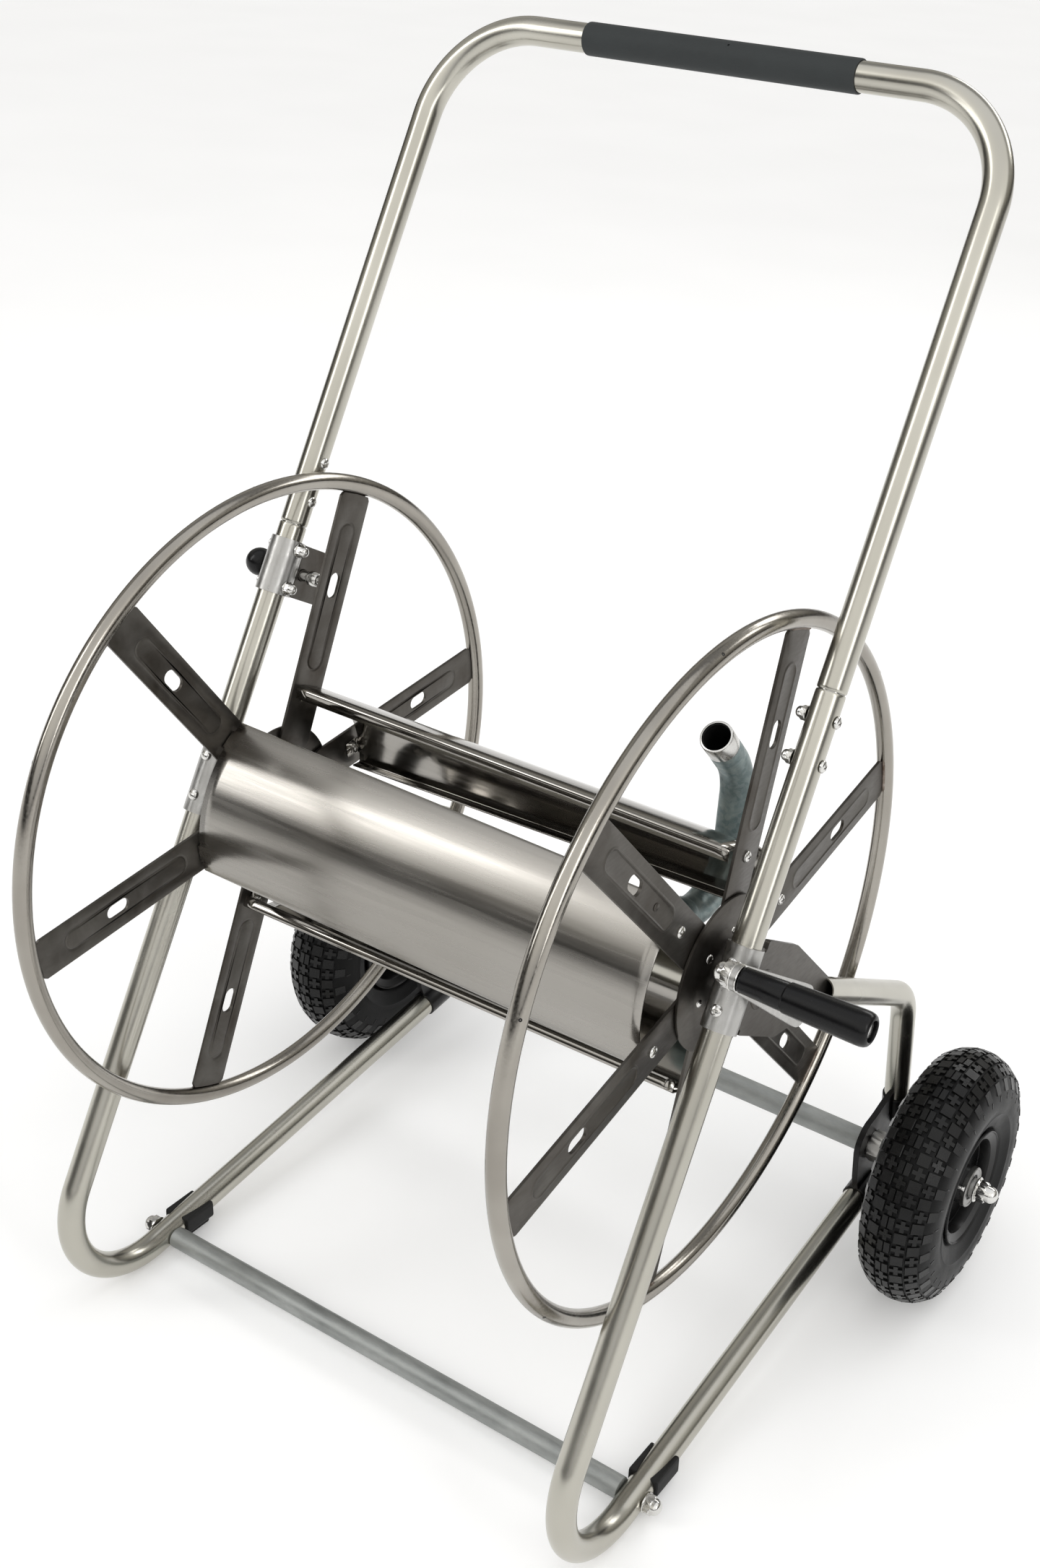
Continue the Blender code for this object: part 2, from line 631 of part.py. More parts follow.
def spoke(name, side, index):
    """Flat spoke with a long slot, tapered at the hub."""
    half = SPOKE_WIDTH / 2.0
    outer = RING_RADIUS - RING_TUBE_RADIUS - 0.0006
    outline = [(-0.011, 0.0262), (0.011, 0.0262), (half, 0.052), (half, outer - 0.0008), (0.0, outer),
               (-half, outer - 0.0008), (-half, 0.052)]
    slot = []
    for k in range(12):
        turn = 2.0 * math.pi * k / 12
        lift = 0.0055 if math.sin(turn + 0.01) > 0 else -0.0055
        slot.append((0.0065 * math.cos(turn), SPOKE_SLOT_RADIUS + lift + 0.0065 * math.sin(turn)))
    near, far = sorted((side * (DISC_X - SPOKE_THICKNESS / 2), side * (DISC_X + SPOKE_THICKNESS / 2)))
    frame = drum_frame(spoke_angle(side, index))
    verts, faces = plate_solid(outline, [slot], near, far, frame)
    make_object(name, verts, faces, DARK_STEEL, (side * DISC_X, 0.0, DRUM_Z))


def hub_plate(name, side):
    """Round dished plate screwed over the inner ends of the spokes."""
    face = DISC_X + SPOKE_THICKNESS / 2 + GAP
    hole = STUB_RADIUS + GAP
    profile = [(face, HUB_PLATE_RADIUS), (face, 0.042), (face + 0.004, 0.032), (face + 0.004, hole),
               (face + 0.0065, hole), (face + 0.0065, 0.0325), (face + 0.0025, 0.0425),
               (face + 0.0025, HUB_PLATE_RADIUS)]
    frame = Matrix.Translation(DRUM_CENTRE) @ Matrix.Rotation(0.0 if side > 0 else math.pi, 4, "Z")
    verts, faces = lathe_solid(profile, 30, True, frame)
    make_object(name, verts, faces, DARK_STEEL, (side * DISC_X, 0.0, DRUM_Z))


def slat(name, first_index):
    """Polished curved sheet between two neighbouring spokes, with folded lips and end tabs."""
    half_spoke = math.asin(SPOKE_WIDTH / 2 / SLAT_RADIUS)
    start = first_index * SPOKE_PITCH - half_spoke
    stop = (first_index + 1) * SPOKE_PITCH + half_spoke
    tab = math.radians(4.5)
    marks = [start]
    for centre in (first_index * SPOKE_PITCH, (first_index + 1) * SPOKE_PITCH):
        marks += [centre - tab, centre + tab]
    marks.append(stop)
    marks[3:3] = [marks[2] + (marks[3] - marks[2]) * k / 6 for k in range(1, 6)]
    stations = [-SLAT_HALF_LENGTH + 2 * SLAT_HALF_LENGTH * k / 6 for k in range(7)]

    def place(x, angle, radius):
        turned = DRUM_LEAN + DRUM_TWIST * x / DISC_X + angle
        return Vector((x, -radius * math.sin(turned), DRUM_Z + radius * math.cos(turned)))

    section = [(marks[0], SLAT_RADIUS - SLAT_LIP)] + [(m, SLAT_RADIUS) for m in marks]
    section.append((marks[-1], SLAT_RADIUS - SLAT_LIP))
    width = len(section)
    verts = [place(x, angle, radius) for x in stations for angle, radius in section]
    faces = []
    for i in range(len(stations) - 1):
        for k in range(width - 1):
            a = i * width + k
            faces.append([a, a + 1, a + width + 1, a + width])
    for end, x_tab in ((0, -SLAT_TAB_X), (len(stations) - 1, SLAT_TAB_X)):
        for k in range(1, width - 2):
            pair = (section[k][0], section[k + 1][0])
            if abs(pair[1] - pair[0] - 2 * tab) > 1e-6:
                continue
            previous = end * width + k
            for radius in (SLAT_RADIUS, SLAT_RADIUS - 0.0155):
                current = len(verts)
                verts += [place(x_tab, angle, radius) for angle in pair]
                face = [previous, previous + 1, current + 1, current]
                faces.append(face if end else list(reversed(face)))
                previous = current
    a, b, c = (verts[i] for i in faces[1][:3])
    outward = a - Vector((a.x, 0.0, DRUM_Z))
    if (b - a).cross(c - a).dot(outward) < 0:
        faces = [list(reversed(face)) for face in faces]
    verts, faces = thicken(verts, faces, SLAT_THICKNESS)
    make_object(name, verts, faces, MIRROR, DRUM_CENTRE)


def core_tube():
    """Tube along the drum axis that the hub plates and the curved pipe join."""
    end = DISC_X + SPOKE_THICKNESS / 2 + 0.004
    profile = [(-end, CORE_BORE), (-end, CORE_RADIUS), (end, CORE_RADIUS), (end, CORE_BORE)]
    verts, faces = lathe_solid(profile, 24, True, Matrix.Translation(DRUM_CENTRE))
    obj = make_object("core_tube", verts, faces, POLISHED, DRUM_CENTRE)
    inn = drum_frame(NECK_LEAN) @ Vector((NECK_X, 0.0, 0.005))
    out = drum_frame(NECK_LEAN) @ Vector((NECK_X, 0.0, 0.050))
    cutter = make_cutter("core_tube_cutter", [tube_solid([inn, out], NECK_RADIUS + GAP, segments=16)])
    add_boolean(obj, "DIFFERENCE", cutter)


def outlet_pipe():
    """Galvanised pipe that leaves the core between two slats and rises behind the rear one."""
    radial = Vector((0.0, -math.sin(NECK_LEAN), math.cos(NECK_LEAN)))
    mouth = Vector((0.0, -math.sin(NECK_MOUTH_LEAN), math.cos(NECK_MOUTH_LEAN)))
    base = DRUM_CENTRE + Vector((NECK_X, 0.0, 0.0))
    corners = [base + Vector((0.0, y, z)) for y, z in NECK_CORNERS]
    end = corners[1] + mouth * (NECK_MOUTH_LENGTH - 0.020)
    bends = rounded_path([base + radial * 0.0790, *corners, end], NECK_BENDS, 7)
    low = [base + radial * d for d in (0.0215, 0.0600, 0.0601, 0.0780, 0.0781)]
    low_radii = [NECK_RADIUS, NECK_RADIUS, NECK_RADIUS + 0.0020, NECK_RADIUS + 0.0020, NECK_RADIUS]
    high = [end + mouth * d for d in (0.0001, 0.0190, 0.0200)]
    high_radii = [NECK_RADIUS - 0.0003, NECK_RADIUS - 0.0003, NECK_RADIUS - 0.0008]
    path = low + bends + high
    radii = low_radii + [NECK_RADIUS] * len(bends) + high_radii
    verts, faces = tube_solid(path, radii, NECK_BORE, 16)
    make_object("outlet_pipe", verts, faces, ZINC, base)


def stub_right():
    """Solid axle stub that turns with the drum and carries the crank arm."""
    face = DISC_X + SPOKE_THICKNESS / 2 + 0.004
    arm = CRANK_ARM_X
    fin = FRAME_X - FIN_HALF - GAP
    profile = [(face - 0.0050, 0.0), (face - 0.0050, 0.0205), (face, 0.0205), (face, STUB_RADIUS),
               (face + 0.0034, STUB_RADIUS), (face + 0.0034, 0.0145), (fin, 0.0145), (fin, STUB_RADIUS),
               (arm - GAP, STUB_RADIUS), (arm - GAP, 0.0080),
               (arm + CRANK_ARM_THICKNESS + GAP, 0.0080), (arm + CRANK_ARM_THICKNESS + GAP, 0.0125),
               (arm + 0.0110, 0.0125), (arm + 0.0130, 0.0090), (arm + 0.0150, 0.0)]
    verts, faces = lathe_solid(profile, 20, frame=Matrix.Translation(DRUM_CENTRE))
    make_object("axle_stub_right", verts, faces, SATIN, DRUM_CENTRE + Vector((0.28, 0, 0)))


def stub_left():
    """Hollow axle stub with a hose thread; water enters the drum here."""
    face = DISC_X + SPOKE_THICKNESS / 2 + 0.004
    fin = FRAME_X - FIN_HALF - GAP
    profile = [(face - 0.0050, 0.0065), (face - 0.0050, 0.0205), (face, 0.0205), (face, STUB_RADIUS),
               (face + 0.0034, STUB_RADIUS), (face + 0.0034, 0.0145), (fin, 0.0145), (fin, STUB_RADIUS),
               (0.3280, STUB_RADIUS), (0.3290, 0.0092),
               (0.3290, 0.0065)]
    frame = Matrix.Translation(DRUM_CENTRE) @ Matrix.Rotation(math.pi, 4, "Z")
    verts, faces = lathe_solid(profile, 20, True, frame)
    make_object("axle_stub_left", verts, faces, SATIN, DRUM_CENTRE - Vector((0.28, 0, 0)))


def crank_centre(x):
    """Point on the axis of the crank grip."""
    return Vector((x, -CRANK_RADIUS * math.sin(CRANK_LEAN), DRUM_Z + CRANK_RADIUS * math.cos(CRANK_LEAN)))


def crank_arm():
    """Flat tapered bar from the axle to the crank grip."""
    outline = []
    for k in range(11):
        turn = math.pi + math.pi * k / 10
        outline.append((0.018 * math.cos(turn), 0.018 * math.sin(turn)))
    for k in range(9):
        turn = math.pi * k / 8
        outline.append((0.0105 * math.cos(turn), CRANK_RADIUS + 0.0105 * math.sin(turn)))
    holes = [circle_points((0.0, 0.0), 0.0080 + GAP, 16), circle_points((0.0, CRANK_RADIUS), 0.0045, 12)]
    verts, faces = plate_solid(outline, holes, CRANK_ARM_X, CRANK_ARM_X + CRANK_ARM_THICKNESS,
                               drum_frame(CRANK_LEAN))
    make_object("crank_arm", verts, faces, SATIN, DRUM_CENTRE + Vector((CRANK_ARM_X, 0, 0)))


def crank_grip():
    """Tapered grip that spins on its bolt."""
    base = CRANK_ARM_X + CRANK_ARM_THICKNESS + 0.0018
    profile = [(0.0, 0.0045), (0.0, 0.0088), (0.0010, 0.0094), (0.0370, 0.0112), (0.0380, 0.0119),
               (0.0700, 0.0127), (0.1010, 0.0134), (0.1050, 0.0126), (CRANK_GRIP_LENGTH, 0.0105),
               (CRANK_GRIP_LENGTH, 0.0080), (0.1010, 0.0080), (0.1010, 0.0045)]
    verts, faces = lathe_solid(profile, 24, True, Matrix.Translation(crank_centre(base)))
    make_object("crank_grip", verts, faces, GLOSS_PLASTIC, crank_centre(base))


def crank_bolt():
    """Bolt through the grip and the arm with a domed nut behind the arm."""
    tip = CRANK_ARM_X
    base = CRANK_ARM_X + CRANK_ARM_THICKNESS + 0.0018
    profile = [(-0.0170, 0.0), (-0.0160, 0.0050), (-0.0125, 0.0088), (-0.0100, 0.0096), (-0.0100, 0.0108),
               (-GAP, 0.0108), (-GAP, 0.0042), (0.0043, 0.0042), (0.0043, 0.0096),
               (0.0055, 0.0096), (0.0055, 0.0042), (base - tip + 0.1013, 0.0042),
               (base - tip + 0.1013, 0.0075), (base - tip + 0.1045, 0.0070), (base - tip + 0.1050, 0.0)]
    frame = Matrix.Translation(crank_centre(tip))
    verts, faces = hex_lathe(profile, (-0.0100, -GAP, 0.0100), frame)
    make_object("crank_bolt", verts, faces, BRIGHT, crank_centre(tip))


def brake_centre(x):
    """Point on the axis of the brake pin."""
    angle = spoke_angle(-1, 0)
    return Vector((x, -SPOKE_SLOT_RADIUS * math.sin(angle), DRUM_Z + SPOKE_SLOT_RADIUS * math.cos(angle)))


def brake_bracket():
    """Bracket wrapped round the left column whose fin guides the brake pin."""
    base = column_point(-1, 0.6700)
    pin = brake_centre(-FRAME_X) - base
    back, up = pin.dot(COLUMN_BACK), pin.dot(COLUMN_UP)
    fin = [(0.0140, -0.0250), (0.0620, -0.0250), (0.0620, 0.0250), (0.0140, 0.0250)]
    hole = circle_points((back, up), 0.0058 + GAP, 16)
    cuts = []
    reach = Vector((0.03, 0.0, 0.0))
    for _, height in HANDLE_BOLT_HEIGHTS:
        spot = column_point(-1, height)
        cuts.append(tube_solid([spot - reach, spot + reach], BOLT_HOLE_RADIUS, 0.0, 10, False, (0, 0, 1)))
    wrapped_bracket("brake_bracket", base, 0.0255, fin, [hole], cuts, DARK_STEEL)


def brake_barrel():
    """Stepped guide for the brake pin, held in the fin of its bracket."""
    near = -FRAME_X + FIN_HALF + GAP
    far = -FRAME_X - FIN_HALF - GAP
    bore = PIN_RADIUS + GAP
    profile = [(far - 0.0090, bore), (far - 0.0090, 0.0075), (far, 0.0075), (far, 0.0058),
               (near + 0.0085, 0.0058), (near + 0.0085, 0.0050), (near + 0.0100, 0.0050),
               (near + 0.0100, 0.0070), (near + 0.0200, 0.0070), (near + 0.0200, bore)]
    frame = Matrix.Translation((0.0, *brake_centre(0.0).yz))
    verts, faces = lathe_solid(profile, 18, True, frame)
    make_object("brake_barrel", verts, faces, BRIGHT, brake_centre(-FRAME_X))


def brake_pin():
    """Sliding pin that drops into a spoke slot and stops the drum."""
    profile = [(-0.3200, 0.0), (-0.3200, PIN_RADIUS - 0.0005), (-0.3190, PIN_RADIUS),
               (PIN_TIP_X - 0.0010, PIN_RADIUS), (PIN_TIP_X, PIN_RADIUS - 0.0010), (PIN_TIP_X, 0.0)]
    frame = Matrix.Translation((0.0, *brake_centre(0.0).yz))
    verts, faces = lathe_solid(profile, 14, frame=frame)
    make_object("brake_pin", verts, faces, BRIGHT, brake_centre(-0.28))


def brake_knob():
    """Ball knob on the outer end of the brake pin."""
    centre = -0.3290
    bore = PIN_RADIUS + GAP
    profile = [(centre - KNOB_RADIUS, 0.0)]
    for k in range(1, 9):
        turn = math.pi * k / 10
        profile.append((centre - KNOB_RADIUS * math.cos(turn), KNOB_RADIUS * math.sin(turn)))
    profile += [(-0.3140, 0.0065), (-0.3120, 0.0065), (-0.3120, bore), (-0.3203, bore), (-0.3203, 0.0)]
    frame = Matrix.Translation((0.0, *brake_centre(0.0).yz))
    verts, faces = lathe_solid(profile, 18, frame=frame)
    make_object("brake_knob", verts, faces, GLOSS_PLASTIC, brake_centre(centre))


def wheel_axle(name, side):
    """Axle bolt: shank in the rear crossbar, hexagon against the bracket, domed outer end."""
    plate = BRACKET_X[1] + GAP
    profile = [(0.2460, 0.0), (0.2460, AXLE_RADIUS), (plate, AXLE_RADIUS), (plate, 0.0165),
               (plate + 0.0160, 0.0165), (plate + 0.0160, 0.0115), (0.3205, 0.0115), (0.3205, AXLE_RADIUS),
               (0.3968, AXLE_RADIUS), (0.3968, 0.0125), (0.4080, 0.0118), (0.4100, 0.0092),
               (0.4160, 0.0070), (0.4190, 0.0)]
    turn = Matrix.Identity(4) if side > 0 else Matrix.Rotation(math.pi, 4, "Z")
    frame = Matrix.Translation((0.0, AXLE_Y, AXLE_Z)) @ turn
    verts, faces = hex_lathe(profile, (plate, plate + 0.0160, 0.0150), frame)
    make_object(name, verts, faces, BRIGHT, (side * WHEEL_X, AXLE_Y, AXLE_Z))


def wheel_rim(name, side):
    """Deep dished rim with a plain hub bore."""
    bore = AXLE_RADIUS + GAP
    profile = [(-0.0380, bore), (-0.0380, 0.0180), (-0.0050, 0.0200), (-0.0040, 0.0420), (-0.0300, 0.0480),
               (-0.0345, 0.0575), (-0.0310, 0.0575), (-0.0270, 0.0520), (0.0270, 0.0520), (0.0310, 0.0575),
               (0.0345, 0.0575), (0.0300, 0.0480), (0.0060, 0.0430), (0.0050, 0.0200), (0.0370, 0.0180),
               (0.0370, bore)]
    turn = Matrix.Identity(4) if side > 0 else Matrix.Rotation(math.pi, 4, "Z")
    centre = Vector((side * WHEEL_X, AXLE_Y, AXLE_Z))
    verts, faces = lathe_solid(profile, 28, True, Matrix.Translation(centre) @ turn)
    make_object(name, verts, faces, BLACK_PAINT, centre)


def wheel_tyre(name, side):
    """Hollow pneumatic tyre seated between the rim flanges."""
    outer = [(0.0264, 0.0560), (0.0300, 0.0602), (0.0378, 0.0740), (WHEEL_HALF_WIDTH, 0.0880),
             (0.0380, 0.1020), (0.0320, 0.1150), (0.0230, 0.1235), (0.0120, 0.1282), (0.0, WHEEL_RADIUS)]
    inner = [(0.0, 0.1200), (0.0200, 0.1140), (0.0320, 0.0900), (0.0225, 0.0540), (0.0240, 0.0524),
             (0.0262, 0.0524)]
    profile = outer + [(-x, r) for x, r in reversed(outer[:-1])]
    profile += [(-x, r) for x, r in reversed(inner)] + inner[1:]
    centre = Vector((side * WHEEL_X, AXLE_Y, AXLE_Z))
    verts, faces = lathe_solid(profile, 36, True, Matrix.Translation(centre))
    make_object(name, verts, faces, RUBBER, centre)


def build():
    """Build the whole cart."""
    for obj in list(bpy.data.objects):
        bpy.data.objects.remove(obj, do_unlink=True)
    handle_tube()
    handle_grip()
    handle_bolts()
    bracket_screws()
    front_crossbar()
    bar_bolts()
    rear_crossbar()
    core_tube()
    outlet_pipe()
    stub_left()
    stub_right()
    crank_arm()
    crank_grip()
    crank_bolt()
    brake_bracket()
    brake_barrel()
    brake_pin()
    brake_knob()
    slat("slat_front", 1)
    slat("slat_bottom", 3)
    slat("slat_rear", 5)
    for word, side in SIDES:
        frame_tube(f"frame_tube_{word}", side)
        rear_tube(f"rear_tube_{word}", side)
        hub_bracket(f"hub_bracket_{word}", side)
        wheel_bracket(f"wheel_bracket_{word}", side)
        foot_block(f"foot_block_{word}", side)
        wheel_axle(f"wheel_axle_{word}", side)
        wheel_rim(f"wheel_rim_{word}", side)
        wheel_tyre(f"wheel_tyre_{word}", side)
        disc_ring(f"disc_ring_{word}", side)
        hub_plate(f"hub_plate_{word}", side)
        for index in range(6):
            spoke(f"spoke_{word}_{index + 1}", side, index)


build()
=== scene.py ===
"""The finished look of the garden hose reel cart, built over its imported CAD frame."""

import json
import math

import bmesh
import bpy
from mathutils import Matrix, Vector
from mathutils.geometry import tessellate_polygon


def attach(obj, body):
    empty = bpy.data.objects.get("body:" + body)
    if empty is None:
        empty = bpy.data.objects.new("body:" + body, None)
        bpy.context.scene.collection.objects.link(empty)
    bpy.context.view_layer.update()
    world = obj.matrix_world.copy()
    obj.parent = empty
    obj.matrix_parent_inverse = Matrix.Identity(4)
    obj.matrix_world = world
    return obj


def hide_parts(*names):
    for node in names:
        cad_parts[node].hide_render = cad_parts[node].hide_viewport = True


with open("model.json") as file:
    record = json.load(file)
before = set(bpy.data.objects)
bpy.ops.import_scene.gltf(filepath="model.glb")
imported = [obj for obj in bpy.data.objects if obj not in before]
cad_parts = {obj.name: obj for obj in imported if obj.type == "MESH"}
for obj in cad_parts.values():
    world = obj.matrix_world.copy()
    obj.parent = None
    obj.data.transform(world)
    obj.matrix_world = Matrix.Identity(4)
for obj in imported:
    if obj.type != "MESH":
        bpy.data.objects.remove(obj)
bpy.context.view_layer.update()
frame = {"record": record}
joints = {joint["name"]: joint for joint in frame["record"]["behaviour"]["joints"]}

# sizes in metres, taken from the CAD source
TUBE = 0.0125
FRAME_X = 0.279
LEAN = math.radians(28.9)
RISE = math.radians(7.7)
FOOT_BEND = 0.086
FOOT_CENTRE = Vector((0.0, -0.1648, FOOT_BEND + TUBE + 0.001))
HANDLE_TOP_Z = 1.126
HANDLE_BEND = 0.090
HANDLE_JOINT_Z = 0.705
ARM_BEND = 0.052
DISC_X = 0.2394
RING = 0.2979
RING_TUBE = 0.0078
SPOKE_WIDTH = 0.040
SPOKE_THICKNESS = 0.003
SLOT_RADIUS = 0.203
DRUM_LEAN = math.radians(-19.65)
DRUM_TWIST = math.radians(3.0)
PITCH = math.radians(60)
SLAT = 0.108
SLAT_HALF = 0.234  # 5 mm more at each end than the CAD slat
SLAT_TAB_X = 0.2375
NECK_X = 0.160
NECK = 0.0150
NECK_LEAN = math.radians(-100.0)
MOUTH_LEAN = math.radians(42.7)
NECK_BORE = 0.0132
NECK_CORNERS = ((0.1478, -0.0260), (0.1543, 0.0978))
NECK_BENDS = (0.055, 0.057)
FIN_END = 0.1891
FIN_TONGUE = 0.0220
FIN_LAYERS = (("outer", (0.0001, 0.0025)), ("inner", (-0.0025, -0.0001)))
SLEEVE_OUTSIDE = 0.0153
BRACKET_X = (0.276, 0.282)
FRONT_BAR_Y = -0.1374
FRONT_BAR = 0.0102
REAR_BAR = 0.0116
REAR_BAR_BORE = 0.0084
GRIP_HALF = 0.133
REAR_LEAN = math.radians(-7.5)
SIDES = (("left", -1), ("right", 1))

DRUM = Vector((0.0, *joints["drum_spin"]["pos_m"][1:]))
CRANK = Vector(joints["crank_handle_spin"]["pos_m"])
WHEEL = Vector(joints["wheel_right_spin"]["pos_m"])
PIN = Vector((0.0, 0.0782, 0.6533))
UP = Vector((0.0, math.sin(LEAN), math.cos(LEAN)))
BACK = Vector((0.0, math.cos(LEAN), -math.sin(LEAN)))
ALONG = Vector((0.0, math.cos(RISE), math.sin(RISE)))
COLUMN_START = FOOT_CENTRE + FOOT_BEND * Vector((0.0, -math.cos(LEAN), math.sin(LEAN)))
RUNNER_START = FOOT_CENTRE + FOOT_BEND * Vector((0.0, math.sin(RISE), -math.cos(RISE)))
REAR_UP = Vector((0.0, math.sin(REAR_LEAN), math.cos(REAR_LEAN)))
REAR_FOOT = Vector((0.0, 0.3366, 0.150))
COLUMN_TO_AXLE = (DRUM - COLUMN_START).dot(BACK)

# camera: lens in millimetres on a 36 mm frame, shift as a share of the longer side
LENS = 42.6494703
SHIFT = (-0.0919391985, -0.0145555044)
CAMERA_PLACE = Vector((0.8437, -1.1267, 1.3031))
CAMERA_RIGHT = Vector((0.84110, 0.53708, 0.06399))
CAMERA_UP = Vector((-0.29214, 0.35155, 0.88942))
CAMERA_BACK = Vector((0.45520, -0.76678, 0.45259))


# ---------------------------------------------------------------- materials

def set_stops(node, stops):
    """Give a colour ramp its stops; a plain number is a grey."""
    elements = node.color_ramp.elements
    while len(elements) < len(stops):
        elements.new(0.5)
    for element, (position, colour) in zip(elements, stops):
        element.position = position
        element.color = (*colour, 1.0) if isinstance(colour, tuple) else (colour, colour, colour, 1.0)


class Nodes:
    """Small helper that wires up a Principled material."""

    def __init__(self, name):
        self.material = bpy.data.materials.new(name)
        self.material.use_nodes = True
        self.tree = self.material.node_tree
        self.shader = self.tree.nodes["Principled BSDF"]
        self.coords = self.tree.nodes.new("ShaderNodeTexCoord").outputs["Object"]

    def link(self, source, target):
        self.tree.links.new(source, target)

    def mapping(self, scale):
        node = self.tree.nodes.new("ShaderNodeMapping")
        node.inputs["Scale"].default_value = scale
        self.link(self.coords, node.inputs["Vector"])
        return node.outputs["Vector"]

    def noise(self, scale, stretch=(1, 1, 1), detail=4.0, roughness=0.55, distortion=0.0):
        node = self.tree.nodes.new("ShaderNodeTexNoise")
        node.inputs["Scale"].default_value = scale
        node.inputs["Detail"].default_value = detail
        node.inputs["Roughness"].default_value = roughness
        node.inputs["Distortion"].default_value = distortion
        self.link(self.mapping(stretch), node.inputs["Vector"])
        return node.outputs["Fac"]

    def voronoi(self, scale, output="Distance"):
        node = self.tree.nodes.new("ShaderNodeTexVoronoi")
        node.inputs["Scale"].default_value = scale
        self.link(self.coords, node.inputs["Vector"])
        return node.outputs[output]

    def ramp(self, source, stops):
        node = self.tree.nodes.new("ShaderNodeValToRGB")
        set_stops(node, stops)
        self.link(source, node.inputs["Fac"])
        return node.outputs["Color"]

    def mix(self, amount, first, second, kind="MIX"):
        node = self.tree.nodes.new("ShaderNodeMix")
        node.data_type = "RGBA"
        node.blend_type = kind
        sockets = [s for s in node.inputs if s.enabled]
        for socket, value in zip(sockets, (amount, first, second)):
            if isinstance(value, bpy.types.NodeSocket):
                self.link(value, socket)
            elif isinstance(value, tuple):
                socket.default_value = (*value, 1.0)
            else:
                socket.default_value = value
        return [s for s in node.outputs if s.enabled][0]

    def attribute(self, name):
        node = self.tree.nodes.new("ShaderNodeAttribute")
        node.attribute_name = name
        return node.outputs["Fac"]

    def bump(self, layers):
        """Chain (source, strength, distance) height layers into the normal."""
        normal = None
        for source, strength, distance in layers:
            node = self.tree.nodes.new("ShaderNodeBump")
            node.inputs["Strength"].default_value = strength
            node.inputs["Distance"].default_value = distance
            self.link(source, node.inputs["Height"])
            if normal:
                self.link(normal, node.inputs["Normal"])
            normal = node.outputs["Normal"]
        self.link(normal, self.shader.inputs["Normal"])

    def finish(self, colour, roughness, metallic, **sockets):
        for name, value in (("Base Color", colour), ("Roughness", roughness), ("Metallic", metallic)):
            socket = self.shader.inputs[name]
            if isinstance(value, bpy.types.NodeSocket):
                self.link(value, socket)
            elif isinstance(value, tuple):
                socket.default_value = (*value, 1.0)
            else:
                socket.default_value = value
        for name, value in sockets.items():
            self.shader.inputs[name.replace("_", " ")].default_value = value
        return self.material


def polished_tube():
    n = Nodes("polished_tube")
    cloud = n.noise(7.0, detail=3.0)
    streak = n.noise(40.0, detail=2.0)
    colour = n.ramp(cloud, [(0.3, (0.43, 0.415, 0.365)), (0.7, (0.52, 0.505, 0.45))])
    rough = n.ramp(n.mix(0.4, cloud, streak), [(0.3, 0.20), (0.7, 0.29)])
    n.bump([(streak, 0.025, 0.001)])
    return n.finish(colour, rough, 1.0)


def ring_tube():
    n = Nodes("ring_tube")
    cloud = n.noise(12.0, detail=3.0)
    lines = n.noise(420.0, detail=3.0)
    base = n.ramp(cloud, [(0.3, (0.29, 0.27, 0.24)), (0.7, (0.37, 0.35, 0.315))])
    tint = n.ramp(n.noise(60.0), [(0.35, (0.17, 0.115, 0.07)), (0.65, (0.29, 0.215, 0.155))])
    colour = n.mix(n.attribute("heat"), base, tint)
    rough = n.ramp(lines, [(0.3, 0.13), (0.7, 0.25)])
    n.bump([(lines, 0.03, 0.0003)])
    return n.finish(colour, rough, 1.0)


def sheet(name, low, high):
    n = Nodes(name)
    cloud = n.noise(6.0, (0.5, 1.0, 1.0), 3.0)
    streaks = n.noise(160.0, (0.03, 1.0, 1.0), 4.0)
    colour = n.ramp(cloud, [(0.3, (0.31, 0.295, 0.27)), (0.7, (0.37, 0.355, 0.33))])
    n.bump([(streaks, 0.05, 0.0006), (n.noise(7.0, (0.6, 1.0, 1.0), 2.0), 0.03, 0.005)])
    return n.finish(colour, n.ramp(streaks, [(0.3, low), (0.72, high)]), 1.0)


def satin_steel():
    n = Nodes("satin_steel")
    grain = n.noise(500.0, (1.0, 0.3, 0.3), 3.0)
    cloud = n.noise(40.0)
    colour = n.ramp(cloud, [(0.3, (0.40, 0.395, 0.38)), (0.7, (0.50, 0.495, 0.48))])
    n.bump([(grain, 0.12, 0.0004)])
    return n.finish(colour, n.ramp(grain, [(0.3, 0.26), (0.7, 0.40)]), 1.0)


def dark_steel():
    n = Nodes("dark_steel")
    grain = n.noise(420.0, (1.0, 0.25, 1.0), 4.0)
    stain = n.noise(22.0, detail=6.0, distortion=0.6)
    colour = n.ramp(stain, [(0.30, (0.058, 0.050, 0.042)), (0.52, (0.090, 0.083, 0.074)),
                            (0.8, (0.135, 0.128, 0.116))])
    n.bump([(grain, 0.12, 0.0004), (stain, 0.05, 0.001)])
    return n.finish(colour, n.ramp(n.mix(0.5, grain, stain), [(0.3, 0.28), (0.7, 0.48)]), 0.9)


def zinc_bar():
    n = Nodes("zinc_bar")
    cloud = n.noise(70.0, (0.35, 1.0, 1.0), 6.0, 0.65)
    fine = n.noise(600.0, detail=3.0)
    colour = n.ramp(cloud, [(0.3, (0.25, 0.262, 0.255)), (0.55, (0.34, 0.352, 0.342)),
                            (0.75, (0.43, 0.44, 0.43))])
    n.bump([(fine, 0.10, 0.0003)])
    return n.finish(colour, n.ramp(cloud, [(0.3, 0.42), (0.7, 0.58)]), 0.75)


